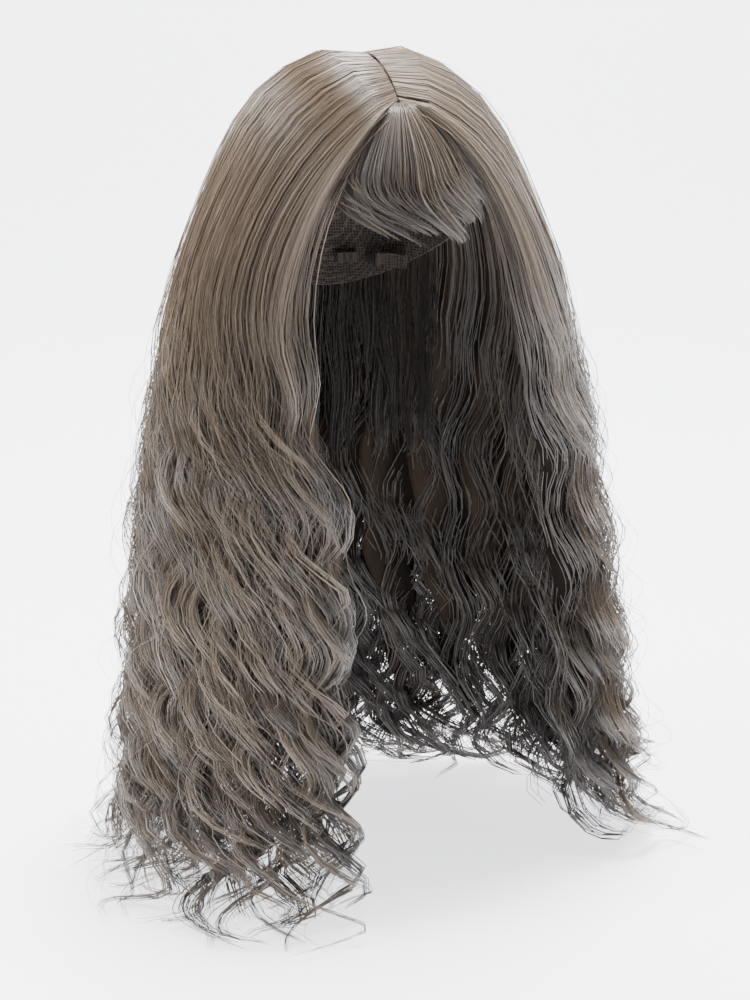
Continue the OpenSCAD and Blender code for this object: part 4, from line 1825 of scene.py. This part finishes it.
@dataclass
class Cap:
    """The cap's cloth, net and plastic, with its sewn seams.

    Attributes:
        drape: The hair's outlines, which hold the head's size.
        band: Width of the elastic bands.
        ribbon: Width of the ribbons.
        weft_rows: Number of weft tracks.
        layer: Gap between layers of cloth.
        cloth: Thickness of the cloth.
        net: Thickness of the net.
        tab: Width and drop of the ear tabs.
        tab_at: Turn of the ear tabs, in degrees.
    """

    drape: Drape
    band: float = 12 * MM
    ribbon: float = 10 * MM
    weft_rows: int = 9
    layer: float = 0.35 * MM
    cloth: float = 0.7 * MM
    net: float = 1.0 * MM
    tab: tuple[float, float] = (22 * MM, 24 * MM)
    tab_at: float = 68.0

    def angle(self, length: float) -> float:
        """Turns a length on the head into an angle.

        Args:
            length: The length.

        Returns:
            The angle in degrees.
        """
        return math.degrees(length / self.drape.head[2])

    def rim(self, turn: Number) -> Number:
        """Finds the rim at one turn.

        Args:
            turn: The turn, in degrees.

        Returns:
            The rim's angle from straight up, in degrees.
        """
        return RIM_LEVEL - RIM_RISE * np.cos(np.radians(turn))

    def dress(self) -> None:
        """Gives every CAD node of the cap its finish."""
        elastic = WovenFinish("elastic", srgb(34, 29, 26), srgb(74, 65, 58), threads=2200.0).build()
        ribbon = WovenFinish("ribbon", srgb(44, 38, 34), srgb(86, 76, 68), threads=3000.0, bump=0.35).build()
        weft = WovenFinish(
            "weft_thread", srgb(48, 42, 37), srgb(98, 88, 78), threads=1500.0, bump=0.9).build()
        net = NetFinish("cap_net", srgb(30, 26, 23), srgb(92, 82, 73)).build()
        skin = MouldedFinish(
            "parting_skin", srgb(206, 178, 152), srgb(222, 197, 172), roughness=0.6, skin=0.2).build()
        plastic = MouldedFinish(
            "moulded_plastic", srgb(28, 26, 25), srgb(44, 41, 39), pores=2400.0, bump=0.1).build()
        finishes = {
            "crown_net": net, "casing": net,
            "front_band": elastic, "nape_band": elastic, "strap": elastic, "loop_tape": elastic,
            "parting_binding": ribbon, "ear_tab": ribbon, "centre_ribbon": ribbon, "side_ribbon": ribbon,
            "cross_ribbon": ribbon, "parting_patch": skin, "ear_stay": plastic, "hook": plastic,
            "weft_track": weft, "fringe_track": weft, "temple_track": weft}
        for name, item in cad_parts.items():
            stem = next((key for key in finishes if name.startswith(key)), None)
            if stem is None:
                continue
            for place in item.material_slots:
                place.material = finishes[stem]
            log.info("%s: %s", name, finishes[stem].name)

    def seam(self, way: np.ndarray, rise: float) -> Seam:
        """Lays a seam on the cap.

        Args:
            way: Unit headings along the seam.
            rise: Height of the cloth's face above the head.

        Returns:
            The seam.
        """
        points = self.drape.on_head(way, np.full((len(way), 1), rise))
        along = unit(np.gradient(points, axis=0))
        return Seam(points, unit(np.cross(along, way)))

    def over(self, back: np.ndarray, off: np.ndarray | float) -> np.ndarray:
        """Headings of a strip that runs front to back over the head.

        Args:
            back: Angle back from the top, in degrees.
            off: Angle off the middle, in degrees.

        Returns:
            The headings.
        """
        tilt, lean = np.broadcast_arrays(np.radians(back), np.radians(off))
        return np.stack([np.sin(lean), np.sin(tilt) * np.cos(lean), np.cos(tilt) * np.cos(lean)], axis=-1)

    def seams(self) -> tuple[list[Seam], list[Seam]]:
        """Lists the straight seams and the zigzag ones.

        Returns:
            Seams of bands, ribbons and binding, and those of the weft tracks.
        """
        ribbon_face = self.net + self.layer + self.cloth
        cross_face = ribbon_face + self.layer + self.cloth
        weft_face = cross_face + self.layer + 1.0 * MM
        return self.straight_seams(ribbon_face, cross_face), self.zigzag_seams(weft_face)

    def straight_seams(self, ribbon_face: float, cross_face: float) -> list[Seam]:
        """Lists the seams of bands, ribbons and binding.

        Args:
            ribbon_face: Height of the ribbons' outer face above the head.
            cross_face: Height of the binding's outer face.

        Returns:
            The seams.
        """
        seams = []
        for first, last in ((-self.tab_at - 7, self.tab_at + 7), (self.tab_at + 10, 350 - self.tab_at)):
            turn = np.linspace(first, last, 60)
            for inset in (self.angle(self.band) - 1.0, 1.3):
                seams.append(self.seam(heading(self.rim(turn) - inset, turn), ribbon_face + self.cloth))
        half = self.angle(self.ribbon) / 2 - 0.7
        low = float(self.rim(180.0)) - self.angle(self.band)
        for middle, first, last in ((0.0, 27.0, low - 2), (27.0, -38.0, low - 10), (-27.0, -38.0, low - 10)):
            for edge in (-half, half):
                way = self.over(np.linspace(first, last, 50), middle + edge)
                seams.append(self.seam(way, ribbon_face))
        wide, long = self.angle(10.5 * MM), self.angle(1.5 * MM)
        for edge in (-wide, wide):
            seams.append(self.seam(self.over(np.linspace(-37 + long, 25 - long, 30), edge), cross_face))
        return seams

    def zigzag_seams(self, weft_face: float) -> list[Seam]:
        """Lists the seams of the weft tracks and the fringe track.

        Args:
            weft_face: Height of the wefts' outer face above the head.

        Returns:
            The seams.
        """
        seams = []
        for row in range(self.weft_rows):
            polar = mix(106.0, 50.0, row / (self.weft_rows - 1))
            reach = polar + self.angle(14 * MM) + 1.5
            meets = math.acos(float(np.clip((RIM_LEVEL - reach) / RIM_RISE, -1, 1)))
            start = max(72.0, math.degrees(meets))
            seams.append(self.seam(heading(polar, np.linspace(start + 1, 359 - start, 60)), weft_face))
        turn = np.linspace(-37, 37, 24)
        low = self.rim(turn) - self.angle(self.band) - 1 - self.angle(2 * MM)
        seams.append(self.seam(heading(low, turn), weft_face))
        return seams

    def tab_seam(self, side: Side) -> Seam:
        """Lays the seam round one ear tab.

        Args:
            side: The wearer's side.

        Returns:
            The seam.
        """
        width, drop = self.tab
        half = self.angle(width) / 2 - 1.2
        low = float(self.rim(self.tab_at)) + self.angle(drop)
        part = np.linspace(-1, 1, 40)
        down = 1 - np.abs(part) ** 3
        off = half * np.sqrt(1 - 0.85 * down ** 2) * np.sign(part) * np.minimum(1, np.abs(part) * 6)
        turn = side.sign * self.tab_at + off
        polar = mix(self.rim(turn) + 1.8, low - 1.2, down)
        return self.seam(heading(polar, turn), self.net + 2 * self.cloth)

    def sew(self, name: str, seams: list[Seam], tree: bpy.types.GeometryNodeTree, sizes: dict[str, object],
            body: str) -> None:
        """Sews stitches along seams on one body.

        Args:
            name: The piece's name.
            seams: The seams.
            tree: The stitch node tree.
            sizes: Values for the tree's inputs.
            body: The body that the stitches ride on.
        """
        host = line_mesh(name + "_lines", [seam.points for seam in seams])
        put(host, "across", np.concatenate([seam.across for seam in seams]))
        piece = add_object(name, evaluate(host, tree, sizes, ("across",)))
        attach(piece, body)
        log.info("%s: %d faces", name, len(piece.data.polygons))

    def build(self) -> None:
        """Dresses the cap and sews its seams."""
        self.dress()
        tree = stitch_tree()
        thread = WovenFinish(
            "sewing_thread", srgb(70, 61, 54), srgb(134, 120, 106), threads=5000.0, bump=0.2).build()
        straight, zigzag = self.seams()
        plain = {"Spacing": 4 * MM, "Length": 2.8 * MM, "Finish": thread}
        crossing = {"Spacing": 2.4 * MM, "Length": 3.4 * MM, "Zigzag": 1.1, "Finish": thread}
        small = {"Spacing": 3.4 * MM, "Length": 2.3 * MM, "Finish": thread}
        self.sew("band_stitches", straight, tree, plain, "cap")
        self.sew("weft_stitches", zigzag, tree, crossing, "cap")
        for side in Side:
            tab = f"ear_tab_{side.value}"
            self.sew(f"ear_tab_stitches_{side.value}", [self.tab_seam(side)], tree, small, tab)


# ---- stage ---------------------------------------------------------------------------


@dataclass(frozen=True)
class Lamp:
    """A soft square lamp that shines on the wig.

    Attributes:
        name: The lamp's name.
        spot: Its place.
        size: Length of its sides.
        power: Its power in watts.
    """

    name: str
    spot: tuple[float, float, float]
    size: float
    power: float

    def place(self, aim: tuple[float, float, float]) -> None:
        """Puts the lamp in the scene.

        Args:
            aim: The point at which it shines.
        """
        data = bpy.data.lights.new(self.name, "AREA")
        data.size = self.size
        data.energy = self.power
        item = bpy.data.objects.new(self.name, data)
        item.location = self.spot
        x, y, z = np.array(aim) - np.array(self.spot)
        item.rotation_euler = (math.atan2(math.hypot(x, y), -z), 0, math.atan2(y, x) - math.pi / 2)
        bpy.context.scene.collection.objects.link(item)


LAMPS = (
    Lamp("key_lamp", (-1.6, -0.1, 1.3), 0.8, 70.0),
    Lamp("fill_lamp", (1.5, -0.8, 1.1), 1.0, 14.0),
    Lamp("top_lamp", (0.3, 0.2, 1.8), 0.7, 175.0))


@dataclass(frozen=True)
class Studio:
    """A pale table that curves up into the backdrop, soft lamps and the camera.

    Attributes:
        floor: Height of the table.
        camera_turn: Turn of the camera from straight in front, in degrees.
        camera_rise: Its height above the level view, in degrees.
        camera_far: Its distance from the target.
        view_height: Height of the view at the target.
        target: The point at the middle of the view.
        lamp_target: The point at which the lamps shine.
        table_back: Distance behind the wig where the table starts to rise.
        table_bend: Radius at which it rises.
        table_half: Half of its width.
    """

    floor: float
    camera_turn: float = -18.0
    camera_rise: float = 16.0
    camera_far: float = 1.9
    view_height: float = 0.68
    target: tuple[float, float, float] = (0.005, 0.0, -0.2945)
    lamp_target: tuple[float, float, float] = (0.0, 0.0, -0.25)
    table_back: float = 1.3
    table_bend: float = 0.8
    table_half: float = 3.0

    def build(self) -> None:
        """Builds the stage, the lamps and the camera."""
        self.backdrop()
        self.world()
        for lamp in LAMPS:
            lamp.place(self.lamp_target)
        self.camera()

    def backdrop(self) -> None:
        """Sweeps the table up into the backdrop."""
        back, bend = self.table_back, self.table_bend
        profile = [(-1.6, 0.0), (back, 0.0)]
        angles = np.radians(np.arange(7.5, 91, 7.5))
        profile += [(back + bend * math.sin(angle), bend - bend * math.cos(angle)) for angle in angles]
        profile.append((back + bend, 3.4))
        turn = math.radians(self.camera_turn)
        points = []
        for side in (-self.table_half, self.table_half):
            for far, rise in profile:
                x = side * math.cos(turn) - far * math.sin(turn)
                y = side * math.sin(turn) + far * math.cos(turn)
                points.append((x, y, self.floor - 0.5 * MM + rise))
        count = len(profile)
        faces = [(i, i + count, i + count + 1, i + 1) for i in range(count - 1)]
        mesh = bpy.data.meshes.new("table_sweep")
        mesh.from_pydata(points, [], faces)
        mesh.shade_smooth()
        material, _, shader = open_finish("pale_table")
        shader.inputs["Base Color"].default_value = srgb(244, 245, 250)
        shader.inputs["Roughness"].default_value = 0.55
        shader.inputs["Emission Color"].default_value = (0.95, 0.96, 1.0, 1.0)
        shader.inputs["Emission Strength"].default_value = 2.0
        mesh.materials.append(material)
        add_object("table_sweep", mesh)

    def world(self) -> None:
        """Fills the room with soft light."""
        world = bpy.data.worlds.new("studio")
        bpy.context.scene.world = world
        world.use_nodes = True
        glow = world.node_tree.nodes["Background"]
        glow.inputs["Color"].default_value = (0.93, 0.95, 1.0, 1.0)
        glow.inputs["Strength"].default_value = 0.45

    def camera(self) -> None:
        """Sets the camera at the wig's portrait angle."""
        turn, rise = math.radians(self.camera_turn), math.radians(self.camera_rise)
        data = bpy.data.cameras.new("camera")
        data.sensor_fit = "VERTICAL"
        data.sensor_height = 24.0
        data.lens = data.sensor_height * self.camera_far / self.view_height
        item = bpy.data.objects.new("camera", data)
        back = np.array([math.sin(turn) * math.cos(rise), -math.cos(turn) * math.cos(rise), math.sin(rise)])
        item.location = np.array(self.target) + back * self.camera_far
        item.rotation_euler = (math.pi / 2 - rise, 0, turn)
        bpy.context.scene.collection.objects.link(item)
        bpy.context.scene.camera = item


def main() -> None:
    """Builds the stage and every piece of the wig."""
    logging.basicConfig(level=logging.INFO, format="%(name)s: %(message)s")
    drape = Drape.from_frame()
    Studio(floor=drape.floor).build()
    hair = HairFinish("hair_length", srgb(25, 20, 15), srgb(120, 103, 84)).build()
    # The locks' cores: a darker, dull copy of the hair colour, as painted shade inside the locks.
    core = HairFinish(
        "hair_core_shaded", srgb(20, 16, 13), srgb(66, 56, 47),
        roughness=0.9, streaks=55.0, sheen=0.0, specular=0.1, relief=0.9).build()
    # The fringe: a darker copy of the hair colour, as painted shade.
    fringe = HairFinish("hair_fringe", srgb(21, 17, 13), srgb(108, 92, 76)).build()
    # The nape hair: a much darker, duller copy of the hair colour, as painted shade behind the neck.
    inner = HairFinish(
        "hair_inner", srgb(24, 19, 15), srgb(52, 44, 36), roughness=0.55, specular=0.25).build()
    tree = strand_tree()
    Lengths(drape, tree, hair, core).build()
    Fringe(drape, tree, fringe).build()
    NapeHair(drape, tree, inner).build()
    Cap(drape).build()


if __name__ == "__main__":
    main()
